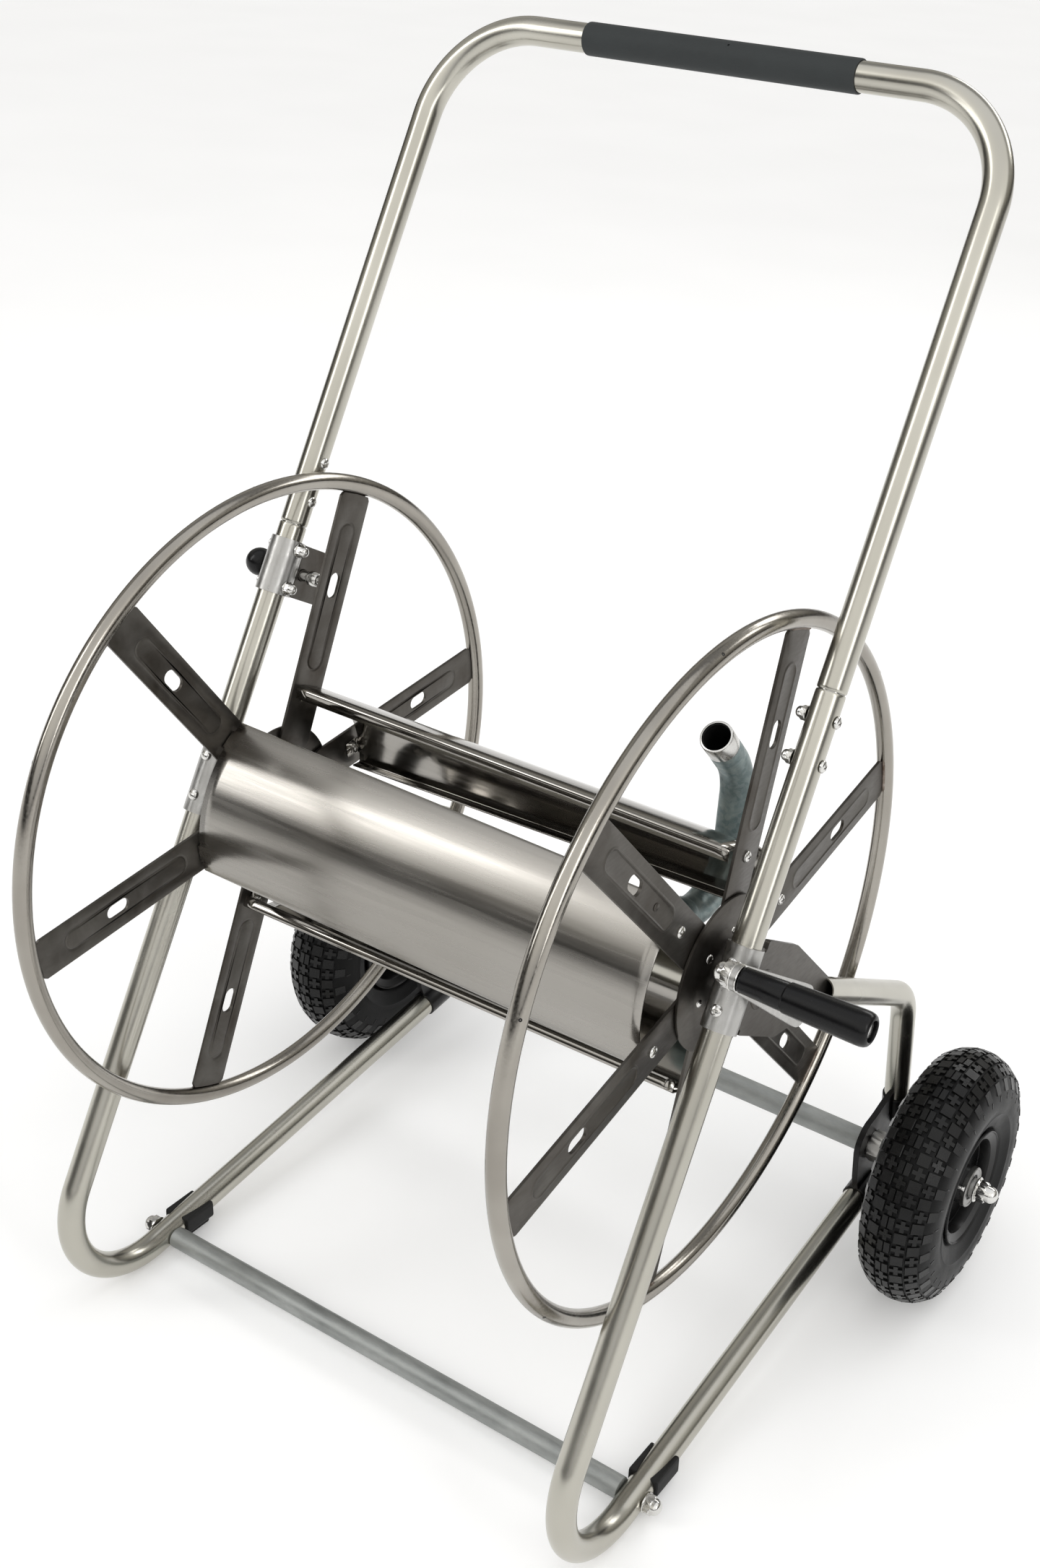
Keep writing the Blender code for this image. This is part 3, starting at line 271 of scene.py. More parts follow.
def galvanised():
    n = Nodes("galvanised_pipe")
    spangle = n.voronoi(230.0, "Color")
    cloud = n.noise(55.0, detail=6.0, roughness=0.65, distortion=0.5)
    tones = n.ramp(cloud, [(0.28, (0.11, 0.155, 0.16)), (0.5, (0.20, 0.26, 0.26)),
                           (0.72, (0.34, 0.39, 0.38))])
    colour = n.mix(0.22, tones, n.ramp(spangle, [(0.2, (0.22, 0.29, 0.30)), (0.8, (0.50, 0.55, 0.54))]))
    n.bump([(cloud, 0.18, 0.0008), (n.noise(500.0), 0.10, 0.0003)])
    return n.finish(colour, n.ramp(cloud, [(0.3, 0.52), (0.7, 0.36)]), 0.72)


def bright_metal(name="bright_fastener", tone=0.74, low=0.10, high=0.26):
    n = Nodes(name)
    cloud = n.noise(90.0, detail=4.0)
    fine = n.noise(700.0, detail=2.0)
    colour = n.ramp(cloud, [(0.3, (tone * 0.86, tone * 0.85, tone * 0.82)),
                            (0.7, (tone, tone * 0.99, tone * 0.96))])
    n.bump([(fine, 0.05, 0.0003)])
    return n.finish(colour, n.ramp(cloud, [(0.3, low), (0.7, high)]), 1.0)


def weld_metal():
    n = Nodes("weld_metal")
    cloud = n.noise(160.0, detail=5.0)
    colour = n.ramp(cloud, [(0.3, (0.10, 0.075, 0.055)), (0.6, (0.24, 0.20, 0.17)),
                            (0.8, (0.42, 0.39, 0.36))])
    n.bump([(n.noise(320.0), 0.5, 0.0008)])
    return n.finish(colour, 0.42, 0.9)


def black_paint():
    n = Nodes("black_paint")
    cloud = n.noise(45.0, detail=5.0)
    peel = n.noise(750.0, detail=2.0)
    colour = n.ramp(cloud, [(0.3, (0.004, 0.004, 0.0045)), (0.75, (0.011, 0.0105, 0.010))])
    n.bump([(peel, 0.12, 0.0004)])
    return n.finish(colour, n.ramp(cloud, [(0.3, 0.26), (0.7, 0.40)]), 0.0, Specular_IOR_Level=0.25)


def rubber(name, dark, light, low, high, grain=0.3, gloss=0.3):
    n = Nodes(name)
    cloud = n.noise(35.0, detail=6.0, roughness=0.6)
    fine = n.noise(900.0, detail=3.0)
    colour = n.ramp(cloud, [(0.3, dark), (0.75, light)])
    n.bump([(fine, grain, 0.0004), (n.noise(180.0), grain * 0.6, 0.0006)])
    return n.finish(colour, n.ramp(cloud, [(0.3, low), (0.7, high)]), 0.0, Specular_IOR_Level=gloss)


def grip_foam():
    n = Nodes("grip_foam")
    cells = n.voronoi(900.0)
    cloud = n.noise(30.0, detail=4.0)
    colour = n.ramp(cloud, [(0.3, (0.016, 0.020, 0.021)), (0.7, (0.028, 0.033, 0.034))])
    n.bump([(cells, 0.25, 0.0005), (n.noise(240.0), 0.2, 0.0005)])
    return n.finish(colour, n.ramp(cloud, [(0.3, 0.62), (0.7, 0.78)]), 0.0)


def black_plastic():
    n = Nodes("black_plastic")
    specks = n.ramp(n.noise(1100.0, detail=1.0), [(0.70, (0.003, 0.003, 0.0035)), (0.80, (0.02, 0.02, 0.02))])
    cloud = n.noise(60.0, detail=4.0)
    n.bump([(n.noise(650.0), 0.06, 0.0003)])
    return n.finish(specks, n.ramp(cloud, [(0.3, 0.20), (0.7, 0.30)]), 0.0, Specular_IOR_Level=0.25)


MATERIALS = {
    "polished_tube": polished_tube(),
    "ring_tube": ring_tube(),
    "mirror_sheet": sheet("mirror_sheet", 0.07, 0.18),
    "brushed_sheet": sheet("brushed_sheet", 0.20, 0.32),
    "satin_steel": satin_steel(),
    "dark_steel": dark_steel(),
    "zinc_bar": zinc_bar(),
    "galvanised_pipe": galvanised(),
    "bright_fastener": bright_metal(),
    "machined_collar": bright_metal("machined_collar", 0.66, 0.16, 0.30),
    "turned_steel": bright_metal("turned_steel", 0.60, 0.34, 0.46),
    "pressed_cup": bright_metal("pressed_cup", 0.34, 0.30, 0.42),
    "weld_metal": weld_metal(),
    "black_paint": black_paint(),
    "black_rubber": rubber("black_rubber", (0.005, 0.005, 0.005), (0.013, 0.013, 0.0125), 0.50, 0.70),
    # The tyre is one rubber painted at three brightnesses by height: casing and groove floor darkest as
    # painted shade, crosses in between, raised block tops lightest as painted light.
    "tyre_rubber": rubber("tyre_rubber", (0.0015, 0.0015, 0.0017), (0.0035, 0.0035, 0.0036), 0.34, 0.48,
                          0.2, 0.14),
    "lit_tread_tops": rubber("lit_tread_tops", (0.0025, 0.0025, 0.0026), (0.010, 0.010, 0.0098), 0.24, 0.38,
                         0.3, 0.25),
    "tread_cross": rubber("tread_cross", (0.0022, 0.0022, 0.0022), (0.006, 0.006, 0.0059), 0.22, 0.34,
                          0.25, 0.30),
    "soft_grip": grip_foam(),
    "black_plastic": black_plastic(),
}


# ---------------------------------------------------------------- mesh helpers

def merge(*solids):
    """Join (verts, faces) pairs into one."""
    verts = []
    faces = []
    for solid_verts, solid_faces in solids:
        start = len(verts)
        verts += [Vector(v) for v in solid_verts]
        faces += [[start + i for i in face] for face in solid_faces]
    return verts, faces


def moved(solid, matrix):
    verts, faces = solid
    return [matrix @ Vector(v) for v in verts], faces


def band(a, b, count):
    """Quads between two rings of count vertices that start at a and at b."""
    return [[a + k, a + (k + 1) % count, b + (k + 1) % count, b + k] for k in range(count)]


def slid(solid, x):
    return moved(solid, Matrix.Translation((x, 0, 0)))


def facing(side):
    """Turn a shape made for the right side to face its own side."""
    return Matrix.Rotation(0.0 if side > 0 else math.pi, 4, "Z")


def sweep(path, radii, bore=0.0, segments=40, closed=False, normal=(1.0, 0.0, 0.0)):
    """Sweep a round section along a flat path that lies across normal."""
    count = len(path)
    normal = Vector(normal)
    points = [Vector(p) for p in path]
    if not isinstance(radii, (list, tuple)):
        radii = [radii] * count
    layers = [radii] if bore == 0.0 else [radii, [bore] * count]
    verts = []
    faces = []
    for layer in layers:
        start = len(verts)
        for i, point in enumerate(points):
            before = points[i - 1] if closed or i > 0 else point
            after = points[(i + 1) % count] if closed or i < count - 1 else point
            side = (after - before).normalized().cross(normal)
            for k in range(segments):
                turn = 2.0 * math.pi * k / segments
                verts.append(point + (normal * math.cos(turn) + side * math.sin(turn)) * layer[i])
        for i in range(count if closed else count - 1):
            faces += band(start + i * segments, start + ((i + 1) % count) * segments, segments)
    if closed:
        return verts, faces
    for first in (0, (count - 1) * segments):
        if bore == 0.0:
            faces.append([first + k for k in range(segments)])
            continue
        faces += band(first, first + count * segments, segments)
    return verts, faces


def rounded_path(corners, radii, steps):
    """Replace each inner corner of a polyline with an arc."""
    points = [Vector(c) for c in corners]
    path = [points[0]]
    for i in range(1, len(points) - 1):
        back = (points[i - 1] - points[i]).normalized()
        ahead = (points[i + 1] - points[i]).normalized()
        half = back.angle(ahead) / 2.0
        centre = points[i] + (back + ahead).normalized() * radii[i - 1] / math.sin(half)
        start = points[i] + back * radii[i - 1] / math.tan(half) - centre
        axis = back.cross(ahead).normalized()
        for k in range(steps + 1):
            turn = Matrix.Rotation(-(math.pi - 2.0 * half) * k / steps, 3, axis)
            path.append(centre + turn @ start)
    path.append(points[-1])
    return path


def lathe(profile, segments=64, closed=False):
    """Turn (x, radius) points around X."""
    verts = []
    faces = []
    rings = []
    for x, radius in profile:
        if radius == 0.0:
            rings.append([len(verts)])
            verts.append(Vector((x, 0.0, 0.0)))
            continue
        rings.append(list(range(len(verts), len(verts) + segments)))
        for k in range(segments):
            turn = 2.0 * math.pi * (k + 0.5) / segments
            verts.append(Vector((x, radius * math.cos(turn), radius * math.sin(turn))))
    pairs = list(zip(rings[:-1], rings[1:]))
    if closed:
        pairs.append((rings[-1], rings[0]))
    for a, b in pairs:
        for k in range(segments):
            n = (k + 1) % segments
            if len(a) == 1:
                faces.append([a[0], b[n], b[k]])
            elif len(b) == 1:
                faces.append([a[k], a[n], b[0]])
            else:
                faces.append([a[k], a[n], b[n], b[k]])
    return verts, faces


def prism(outline, x_from, x_to, holes=()):
    """Extrude a (y, z) outline with holes between two X positions."""
    loops = [list(outline)] + [list(hole) for hole in holes]
    points = [p for loop in loops for p in loop]
    count = len(points)
    verts = [Vector((x, y, z)) for x in (x_from, x_to) for y, z in points]
    if holes:
        faces = []
        for a, b, c in tessellate_polygon([[Vector((y, z, 0.0)) for y, z in loop] for loop in loops]):
            faces += [[a, b, c], [count + c, count + b, count + a]]
    else:
        faces = [list(range(count)), list(range(2 * count - 1, count - 1, -1))]
    start = 0
    for loop in loops:
        faces += band(start, count + start, len(loop))
        start += len(loop)
    return verts, faces


def circle(y, z, radius, count=32):
    turns = [2.0 * math.pi * k / count for k in range(count)]
    return [(y + radius * math.cos(t), z + radius * math.sin(t)) for t in turns]


def rounded(outline, radius, steps=4):
    """Round the corners of a flat (y, z) outline."""
    points = [Vector((y, z, 0.0)) for y, z in outline]
    result = []
    for i, point in enumerate(points):
        before = points[i - 1] - point
        after = points[(i + 1) % len(points)] - point
        reach = min(radius, before.length * 0.45, after.length * 0.45)
        start = point + before.normalized() * reach
        end = point + after.normalized() * reach
        for k in range(steps + 1):
            t = k / steps
            spot = start.lerp(point, t).lerp(point.lerp(end, t), t)
            result.append((spot.x, spot.y))
    return result


def axis_frame(point, direction):
    """Frame whose local X points along direction."""
    x_axis = Vector(direction).normalized()
    helper = Vector((0.0, 0.0, 1.0)) if abs(x_axis.z) < 0.9 else Vector((0.0, 1.0, 0.0))
    y_axis = helper.cross(x_axis).normalized()
    result = Matrix((x_axis, y_axis, x_axis.cross(y_axis))).transposed().to_4x4()
    result.translation = Vector(point)
    return result


def column_frame(base):
    """Frame whose local Y runs back from the column and whose local Z runs up along it."""
    result = Matrix((Vector((1.0, 0.0, 0.0)), BACK, UP)).transposed().to_4x4()
    result.translation = base
    return result


def drum_frame(angle):
    """Frame on the drum axis whose local Z points outward; angle is from up toward the front."""
    return Matrix.Translation(DRUM) @ Matrix.Rotation(angle, 4, "X")


def aside(side):
    """Shift from the middle to the tube line of one side frame."""
    return Vector((side * FRAME_X, 0.0, 0.0))


def column_point(side, z):
    return COLUMN_START + UP * ((z - COLUMN_START.z) / UP.z) + aside(side)


def runner_point(side, y):
    return RUNNER_START + ALONG * ((y - RUNNER_START.y) / ALONG.y) + aside(side)


def bracket_point(side, back, up):
    return DRUM + BACK * back + UP * up + aside(side)


def add_object(name, data):
    obj = bpy.data.objects.new(name, data)
    bpy.context.scene.collection.objects.link(obj)
    return obj


def solid_mesh(name, solid):
    """Mesh of a closed solid with its faces turned outward."""
    mesh = bpy.data.meshes.new(name)
    verts, faces = solid
    mesh.from_pydata([Vector(v) for v in verts], [], faces)
    work = bmesh.new()
    work.from_mesh(mesh)
    bmesh.ops.recalc_face_normals(work, faces=work.faces)
    work.to_mesh(mesh)
    work.free()
    return mesh


def piece(name, solid, look, body, replaces=(), bevel=0.0, angle=35):
    """Make one finished piece that rides on a body and may stand for CAD nodes."""
    mesh = solid_mesh(name, solid)
    mesh.shade_smooth()
    mesh.set_sharp_from_angle(angle=math.radians(angle))
    obj = add_object(name, mesh)
    mesh.materials.append(MATERIALS[look])
    if bevel:
        modifier = obj.modifiers.new("edge", "BEVEL")
        modifier.width = bevel
        modifier.segments = 2
        modifier.limit_method = "ANGLE"
        modifier.angle_limit = math.radians(32)
        modifier.harden_normals = True
    bind(obj, body, replaces)
    return obj


def bind(obj, body, replaces=()):
    """Attach a piece to its body and hide the CAD nodes it stands for."""
    bpy.context.view_layer.update()
    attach(obj, body)
    if replaces:
        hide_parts(*((replaces,) if isinstance(replaces, str) else replaces))


def carve(obj, solid):
    """Cut a solid out of a piece and keep the result as its mesh."""
    cutter = add_object("cutter", solid_mesh("cutter", solid))
    modifier = obj.modifiers.new("cut", "BOOLEAN")
    modifier.operation = "DIFFERENCE"
    modifier.solver = "EXACT"
    modifier.object = cutter
    bpy.context.view_layer.update()
    baked = bpy.data.meshes.new_from_object(obj.evaluated_get(bpy.context.evaluated_depsgraph_get()))
    obj.modifiers.clear()
    obj.data = baked
    bpy.data.objects.remove(cutter, do_unlink=True)
    baked.shade_smooth()
    baked.set_sharp_from_angle(angle=math.radians(32))


# ---------------------------------------------------------------- fasteners

def hexagon(across_corners, x_from, x_to):
    """Hex prism along X with rounded-off corners at both ends."""
    radius = across_corners / 2.0
    chamfer = 0.12
    inset = (x_to - x_from) * chamfer
    rim = ((x_from, 1.0 - chamfer), (x_from + inset, 1.0), (x_to - inset, 1.0), (x_to, 1.0 - chamfer))
    verts = []
    count = 36
    for x, scale in rim:
        for k in range(count):
            turn = 2.0 * math.pi * k / count
            across = (turn % (math.pi / 3)) - math.pi / 6
            flat = radius * math.cos(math.pi / 6) / math.cos(across)
            reach = min(flat, radius * scale)
            verts.append(Vector((x, reach * math.cos(turn), reach * math.sin(turn))))
    faces = [list(range(count)), list(range(len(verts) - 1, len(verts) - count - 1, -1))]
    for ring in range(3):
        faces += band(ring * count, (ring + 1) * count, count)
    return verts, faces


def dome(x, radius, height, steps=6, segments=36):
    """Closed dome on a disc, rising toward +X."""
    profile = [(x - 0.0004, 0.0), (x - 0.0004, radius)]
    for k in range(steps + 1):
        turn = math.pi / 2 * k / steps
        spot = radius * math.cos(turn)
        profile.append((x + height * math.sin(turn), spot if k < steps else 0.0))
    return lathe(profile, segments)


def acorn_nut(size, length):
    """Acorn nut whose seat is at X 0: hexagon, short neck and dome."""
    hex_depth = length * 0.46
    neck = lathe([(hex_depth - 0.0002, 0.0), (hex_depth - 0.0002, size * 0.40), (length * 0.62, size * 0.385),
                  (length * 0.62, 0.0)], 36)
    return merge(hexagon(size, 0.0, hex_depth), neck, dome(length * 0.62, size * 0.385, length * 0.38))


def washer(radius, hole, x, thickness=0.0012):
    edge = thickness * 0.25
    return lathe([(x, hole), (x, radius - edge), (x + edge, radius), (x + thickness - edge, radius),
                  (x + thickness, radius - edge), (x + thickness, hole)], 40, True)


def pan_head(radius, height):
    """Low round head; the cross recess is cut in screw_mesh."""
    profile = [(0.0, 0.0), (0.0, radius * 0.96), (height * 0.25, radius)]
    for k in range(1, 7):
        turn = math.pi / 2 * k / 6
        spot = radius * math.cos(turn)
        profile.append((height * (0.25 + 0.75 * math.sin(turn)), spot if k < 6 else 0.0))
    return lathe(profile, 32)


def cross_recess(size, x_from, x_to):
    arm, half = size, size * 0.24
    outline = [(-half, -arm), (half, -arm), (half, -half), (arm, -half), (arm, half), (half, half),
               (half, arm), (-half, arm), (-half, half), (-arm, half), (-arm, -half), (-half, -half)]
    return prism(outline, x_from, x_to)


def screw_mesh(radius, height):
    """One shared mesh for the cross recessed screws."""
    mesh = solid_mesh("screw_head", pan_head(radius, height))
    obj = add_object("screw_head", mesh)
    mesh.materials.append(MATERIALS["bright_fastener"])
    carve(obj, cross_recess(radius * 0.52, height * 0.45, height * 1.4))
    result = obj.data
    bpy.data.objects.remove(obj, do_unlink=True)
    return result


def screw(name, mesh, point, direction, body, replaces=()):
    obj = add_object(name, mesh)
    obj.matrix_world = axis_frame(point, direction)
    bind(obj, body, replaces)


# ---------------------------------------------------------------- frame

def frame_tubes():
    for word, side in SIDES:
        top = column_point(side, HANDLE_JOINT_Z)
        shift = aside(side)
        path = [top - UP * 0.0002, top - UP * 0.0005, top - UP * 0.0014, top - UP * 0.003]
        radii = [TUBE - 0.0012, TUBE - 0.0005, TUBE - 0.0001, TUBE]
        for k in range(49):
            turn = math.pi - LEAN + (math.pi / 2 + LEAN + RISE) * k / 48
            path.append(FOOT_CENTRE + shift + FOOT_BEND * Vector((0.0, math.cos(turn), math.sin(turn))))
            radii.append(TUBE)
        path.append(runner_point(side, 0.2755))
        radii.append(TUBE)
        piece(f"side_tube_{word}", sweep(path, radii, segments=48), "polished_tube", "frame",
              f"frame_tube_{word}")
        reach = (REAR_FOOT - DRUM).cross(REAR_UP).x / BACK.cross(REAR_UP).x
        start = FIN_END - COLUMN_TO_AXLE + 0.0003
        corners = [bracket_point(side, start, 0.0), bracket_point(side, reach, 0.0), REAR_FOOT + shift]
        path = rounded_path(corners, [ARM_BEND], 28)
        arm = piece(f"arm_tube_{word}", sweep(path, TUBE, 0.0113, 48), "polished_tube", "frame",
                    f"rear_tube_{word}")
        slot = prism([(-0.01, -0.02), (-0.01, 0.02), (0.0226, 0.02), (0.0226, -0.02)], -0.0027, 0.0027)
        carve(arm, moved(slot, column_frame(bracket_point(side, FIN_END - COLUMN_TO_AXLE, 0.0))))


def handle():
    left, right = (column_point(side, HANDLE_JOINT_Z) for side in (-1, 1))
    corners = [left + UP * 0.003, column_point(-1, HANDLE_TOP_Z), column_point(1, HANDLE_TOP_Z),
               right + UP * 0.003]
    bends = rounded_path(corners, [HANDLE_BEND, HANDLE_BEND], 32)
    tips = ((0.0002, TUBE - 0.0014), (0.0005, TUBE - 0.0006), (0.0014, TUBE - 0.0001))
    path = [left + UP * d for d, _ in tips] + bends + [right + UP * d for d, _ in reversed(tips)]
    radii = [r for _, r in tips] + [TUBE] * len(bends) + [r for _, r in reversed(tips)]
    piece("push_handle", sweep(path, radii, 0.0, 48, False, BACK), "polished_tube", "frame", "handle_tube")
    for word, side in SIDES:
        spot = column_point(side, HANDLE_JOINT_Z)
        collar = sweep([spot - UP * 0.004, spot + UP * 0.004], TUBE - 0.0017, segments=40)
        piece(f"joint_sleeve_{word}", collar, "machined_collar", "frame")
    bar = column_point(0, HANDLE_TOP_Z)
    inner, outer, half = TUBE + 0.0002, TUBE + 0.0016, GRIP_HALF
    profile = [(-half, inner), (-half, outer - 0.0006), (-half + 0.0005, outer - 0.0001),
               (-half + 0.0015, outer), (half - 0.0015, outer), (half - 0.0005, outer - 0.0001),
               (half, outer - 0.0006), (half, inner)]
    grip = piece("soft_grip", moved(lathe(profile, 64, True), Matrix.Translation((0.0, bar.y, bar.z))),
                 "soft_grip", "frame", "handle_grip")
    vent = lathe([(0.0, 0.0), (0.0, 0.0011), (0.006, 0.0011), (0.006, 0.0)], 16)
    out = Vector((0.0, -0.6, 0.8))
    mouth = Vector((0.012, bar.y, bar.z)) + out * (outer - 0.0012)
    carve(grip, moved(vent, axis_frame(mouth, out)))


def handle_bolts(heads):
    for word, side in SIDES:
        for level, height in (("upper", 0.6858), ("lower", 0.6545)):
            wall = TUBE if side > 0 else SLEEVE_OUTSIDE
            spot = column_point(side, height)
            inner = Vector((-side, 0.0, 0.0))
            outer_point = spot - inner * (wall + 0.0002)
            screw(f"handle_screw_{word}_{level}", heads, outer_point, -inner, "frame",
                  f"handle_bolt_{word}_{level}")
            nut = merge(washer(0.0065, 0.002, 0.0), slid(acorn_nut(0.0122, 0.0094), 0.0012))
            piece(f"handle_nut_{word}_{level}", moved(nut, axis_frame(spot + inner * wall, inner)),
                  "bright_fastener", "frame")
    for height in (0.7581, 0.7257):
        spot = column_point(-1, height) + Vector((TUBE - 0.0004, 0.0, 0.0))
        screw(f"leg_screw_{round(height * 1000)}", heads, spot, (1.0, 0.0, 0.0), "frame")


def crossbars(heads):
    spot = runner_point(1, FRONT_BAR_Y)
    end = FRAME_X - TUBE - 0.0003
    radius = FRONT_BAR
    profile = [(-end, 0.0), (-end, radius - 0.0012), (-end + 0.0006, radius - 0.0003), (-end + 0.002, radius),
               (end - 0.002, radius), (end - 0.0006, radius - 0.0003), (end, radius - 0.0012), (end, 0.0)]
    piece("front_bar", moved(lathe(profile, 56), Matrix.Translation((0.0, spot.y, spot.z))), "zinc_bar",
          "frame", "front_crossbar")
    for word, side in SIDES:
        place = axis_frame(runner_point(side, FRONT_BAR_Y) + Vector((side * (TUBE - 0.0002), 0.0, 0.0)),
                           (side, 0.0, 0.0))
        nut = merge(washer(0.0095, 0.003, 0.0, 0.0016), slid(acorn_nut(0.0186, 0.0136), 0.0016))
        piece(f"bar_nut_{word}", moved(nut, place), "bright_fastener", "frame", f"bar_bolt_{word}")
    end = 0.2757
    profile = [(-end, REAR_BAR_BORE), (-end, REAR_BAR), (end, REAR_BAR), (end, REAR_BAR_BORE)]
    piece("rear_bar", moved(lathe(profile, 56, True), Matrix.Translation((0.0, WHEEL.y, WHEEL.z))),
          "zinc_bar", "frame", "rear_crossbar")


def feet():
    half = [(0.0080, 0.0), (0.0080, 0.0050), (0.0110, 0.0070), (0.0152, 0.0120), (0.0152, 0.0260),
            (0.0144, 0.0290)]
    outline = rounded(half + [(-x, z) for x, z in reversed(half)], 0.0016, 4)
    for word, side in SIDES:
        verts, faces = prism(outline, -0.1245, -0.0885)
        verts = [Vector((side * FRAME_X + v.y, v.x, v.z)) for v in verts]
        centre = runner_point(side, -0.107)
        foot = piece(f"foot_{word}", (verts, faces), "black_rubber", "frame", f"foot_block_{word}", 0.0012)
        carve(foot, sweep([centre - ALONG * 0.04, centre + ALONG * 0.04], TUBE + 0.0002, segments=48))


def wheel_brackets():
    outline = [(0.274, 0.056), (0.256, 0.097), (0.251, 0.137), (0.254, 0.147), (0.266, 0.159),
               (0.287, 0.162), (0.302, 0.1665), (0.320, 0.170), (0.350, 0.165), (0.358, 0.130),
               (0.348, 0.080), (0.320, 0.058)]
    for word, side in SIDES:
        near, far = sorted(side * x for x in BRACKET_X)
        hole = circle(WHEEL.y, WHEEL.z, 0.0083)
        piece(f"axle_plate_{word}", prism(rounded(outline, 0.008), near, far, [hole]), "black_paint", "frame",
              f"wheel_bracket_{word}", 0.0010)
        shift = aside(side)
        ends = ((runner_point(side, 0.2640), runner_point(side, 0.3010), 0.0119),
                (REAR_FOOT + shift + REAR_UP * 0.0100, REAR_FOOT + shift - REAR_UP * 0.0220, 0.0103))
        for number, (start, stop, depth) in enumerate(ends):
            length = (stop - start).length
            socket = lathe([(depth, 0.0), (depth, 0.0127), (0.0, 0.0127), (0.0, 0.0137), (0.0005, 0.0142),
                            (length - 0.006, 0.0142), (length - 0.002, 0.0130), (length, 0.0100),
                            (length, 0.0)], 48)
            piece(f"tube_socket_{word}_{number}", moved(socket, axis_frame(start, stop - start)),
                  "black_paint", "frame")


def wrap(radius_in, radius_out, fin_half, stub):
    """Outline and bore of a sheet wrapped round a column, flowing into a fin toward +Y."""
    fillet = 0.0035
    reach = radius_out + fillet
    corner = math.asin((fin_half + fillet) / reach)
    outer = [(stub, fin_half)]
    centre = (reach * math.cos(corner), fin_half + fillet)
    for k in range(7):
        turn = -math.pi / 2 - (math.pi / 2 - corner) * k / 6
        outer.append((centre[0] + fillet * math.cos(turn), centre[1] + fillet * math.sin(turn)))
    for k in range(1, 48):
        turn = corner + (2.0 * math.pi - 2.0 * corner) * k / 48
        outer.append((radius_out * math.cos(turn), radius_out * math.sin(turn)))
    for k in range(7):
        turn = math.pi - corner - (math.pi / 2 - corner) * k / 6
        outer.append((centre[0] + fillet * math.cos(turn), -centre[1] + fillet * math.sin(turn)))
    outer.append((stub, -fin_half))
    inner = [(radius_in * math.cos(2.0 * math.pi * k / 48),
              radius_in * math.sin(2.0 * math.pi * k / 48)) for k in range(48)]
    return outer, inner


def sleeve(name, base, half_height, look, replaces):
    """The wrapped part of a bracket, extruded along the column."""
    outer, inner = wrap(0.0127, SLEEVE_OUTSIDE, 0.0025, 0.0235)
    verts, faces = prism(outer, -half_height, half_height, [inner])
    frame_matrix = column_frame(base)
    turned = [frame_matrix @ Vector((v.z, v.y, v.x)) for v in verts]
    piece(name, (turned, faces), look, "frame", replaces, 0.0005)


def brackets(heads):
    tongue = FIN_END + FIN_TONGUE
    fin = [(0.0225, -0.0345), (0.0376, -0.0345), (0.0376, -0.0393), (0.1125, -0.0413), (FIN_END, -0.0141),
           (FIN_END, -0.0113), (tongue, -0.0113), (tongue, 0.0113), (FIN_END, 0.0113), (FIN_END, 0.0141),
           (0.0989, 0.0394), (0.0396, 0.0410), (0.0380, 0.0395), (0.0380, 0.0325), (0.0355, 0.0305),
           (0.0330, 0.0325), (0.0320, 0.0345), (0.0225, 0.0345)]
    for word, side in SIDES:
        base = bracket_point(side, -COLUMN_TO_AXLE, 0.0)
        sleeve(f"hub_sleeve_{word}", base, 0.035, "satin_steel", f"hub_bracket_{word}")
        for layer, (low, high) in FIN_LAYERS:
            plate = prism(rounded(fin, 0.0012, 3), low, high, [circle(COLUMN_TO_AXLE, 0.0, 0.0102, 40)])
            piece(f"hub_fin_{word}_{layer}", moved(plate, column_frame(base)), "dark_steel", "frame", (),
                  0.0004)
        centre = DRUM + aside(side)
        cup = lathe([(0.0026, 0.0101), (0.0026, 0.0172), (0.0034, 0.0168), (0.0042, 0.0135), (0.0062, 0.0130),
                     (0.0062, 0.0101)], 48, True)
        turn = facing(side)
        piece(f"axle_bush_{word}", moved(cup, Matrix.Translation(centre) @ turn), "dark_steel", "frame")
        for level, up in (("upper", 0.019), ("lower", -0.019)):
            spot = bracket_point(side, -COLUMN_TO_AXLE, up) - BACK * SLEEVE_OUTSIDE
            screw(f"sleeve_screw_{word}_{level}", heads, spot, -BACK, "frame",
                  f"bracket_screw_{word}_{level}")
    base = column_point(-1, 0.6700)
    sleeve("brake_sleeve", base, 0.0255, "satin_steel", "brake_bracket")
    fin = rounded([(0.0225, -0.0250), (0.0620, -0.0250), (0.0620, 0.0250), (0.0225, 0.0250)], 0.0015, 3)
    spot = PIN - Vector((0.0, base.y, base.z))
    hole = circle(spot.dot(BACK), spot.dot(UP), 0.0060)
    for layer, (low, high) in FIN_LAYERS:
        piece(f"brake_fin_{layer}", moved(prism(fin, low, high, [hole]), column_frame(base)), "dark_steel",
              "frame", (), 0.0004)


# ---------------------------------------------------------------- drum

def spoke_angle(side, index):
    return DRUM_LEAN + side * DRUM_TWIST + index * PITCH


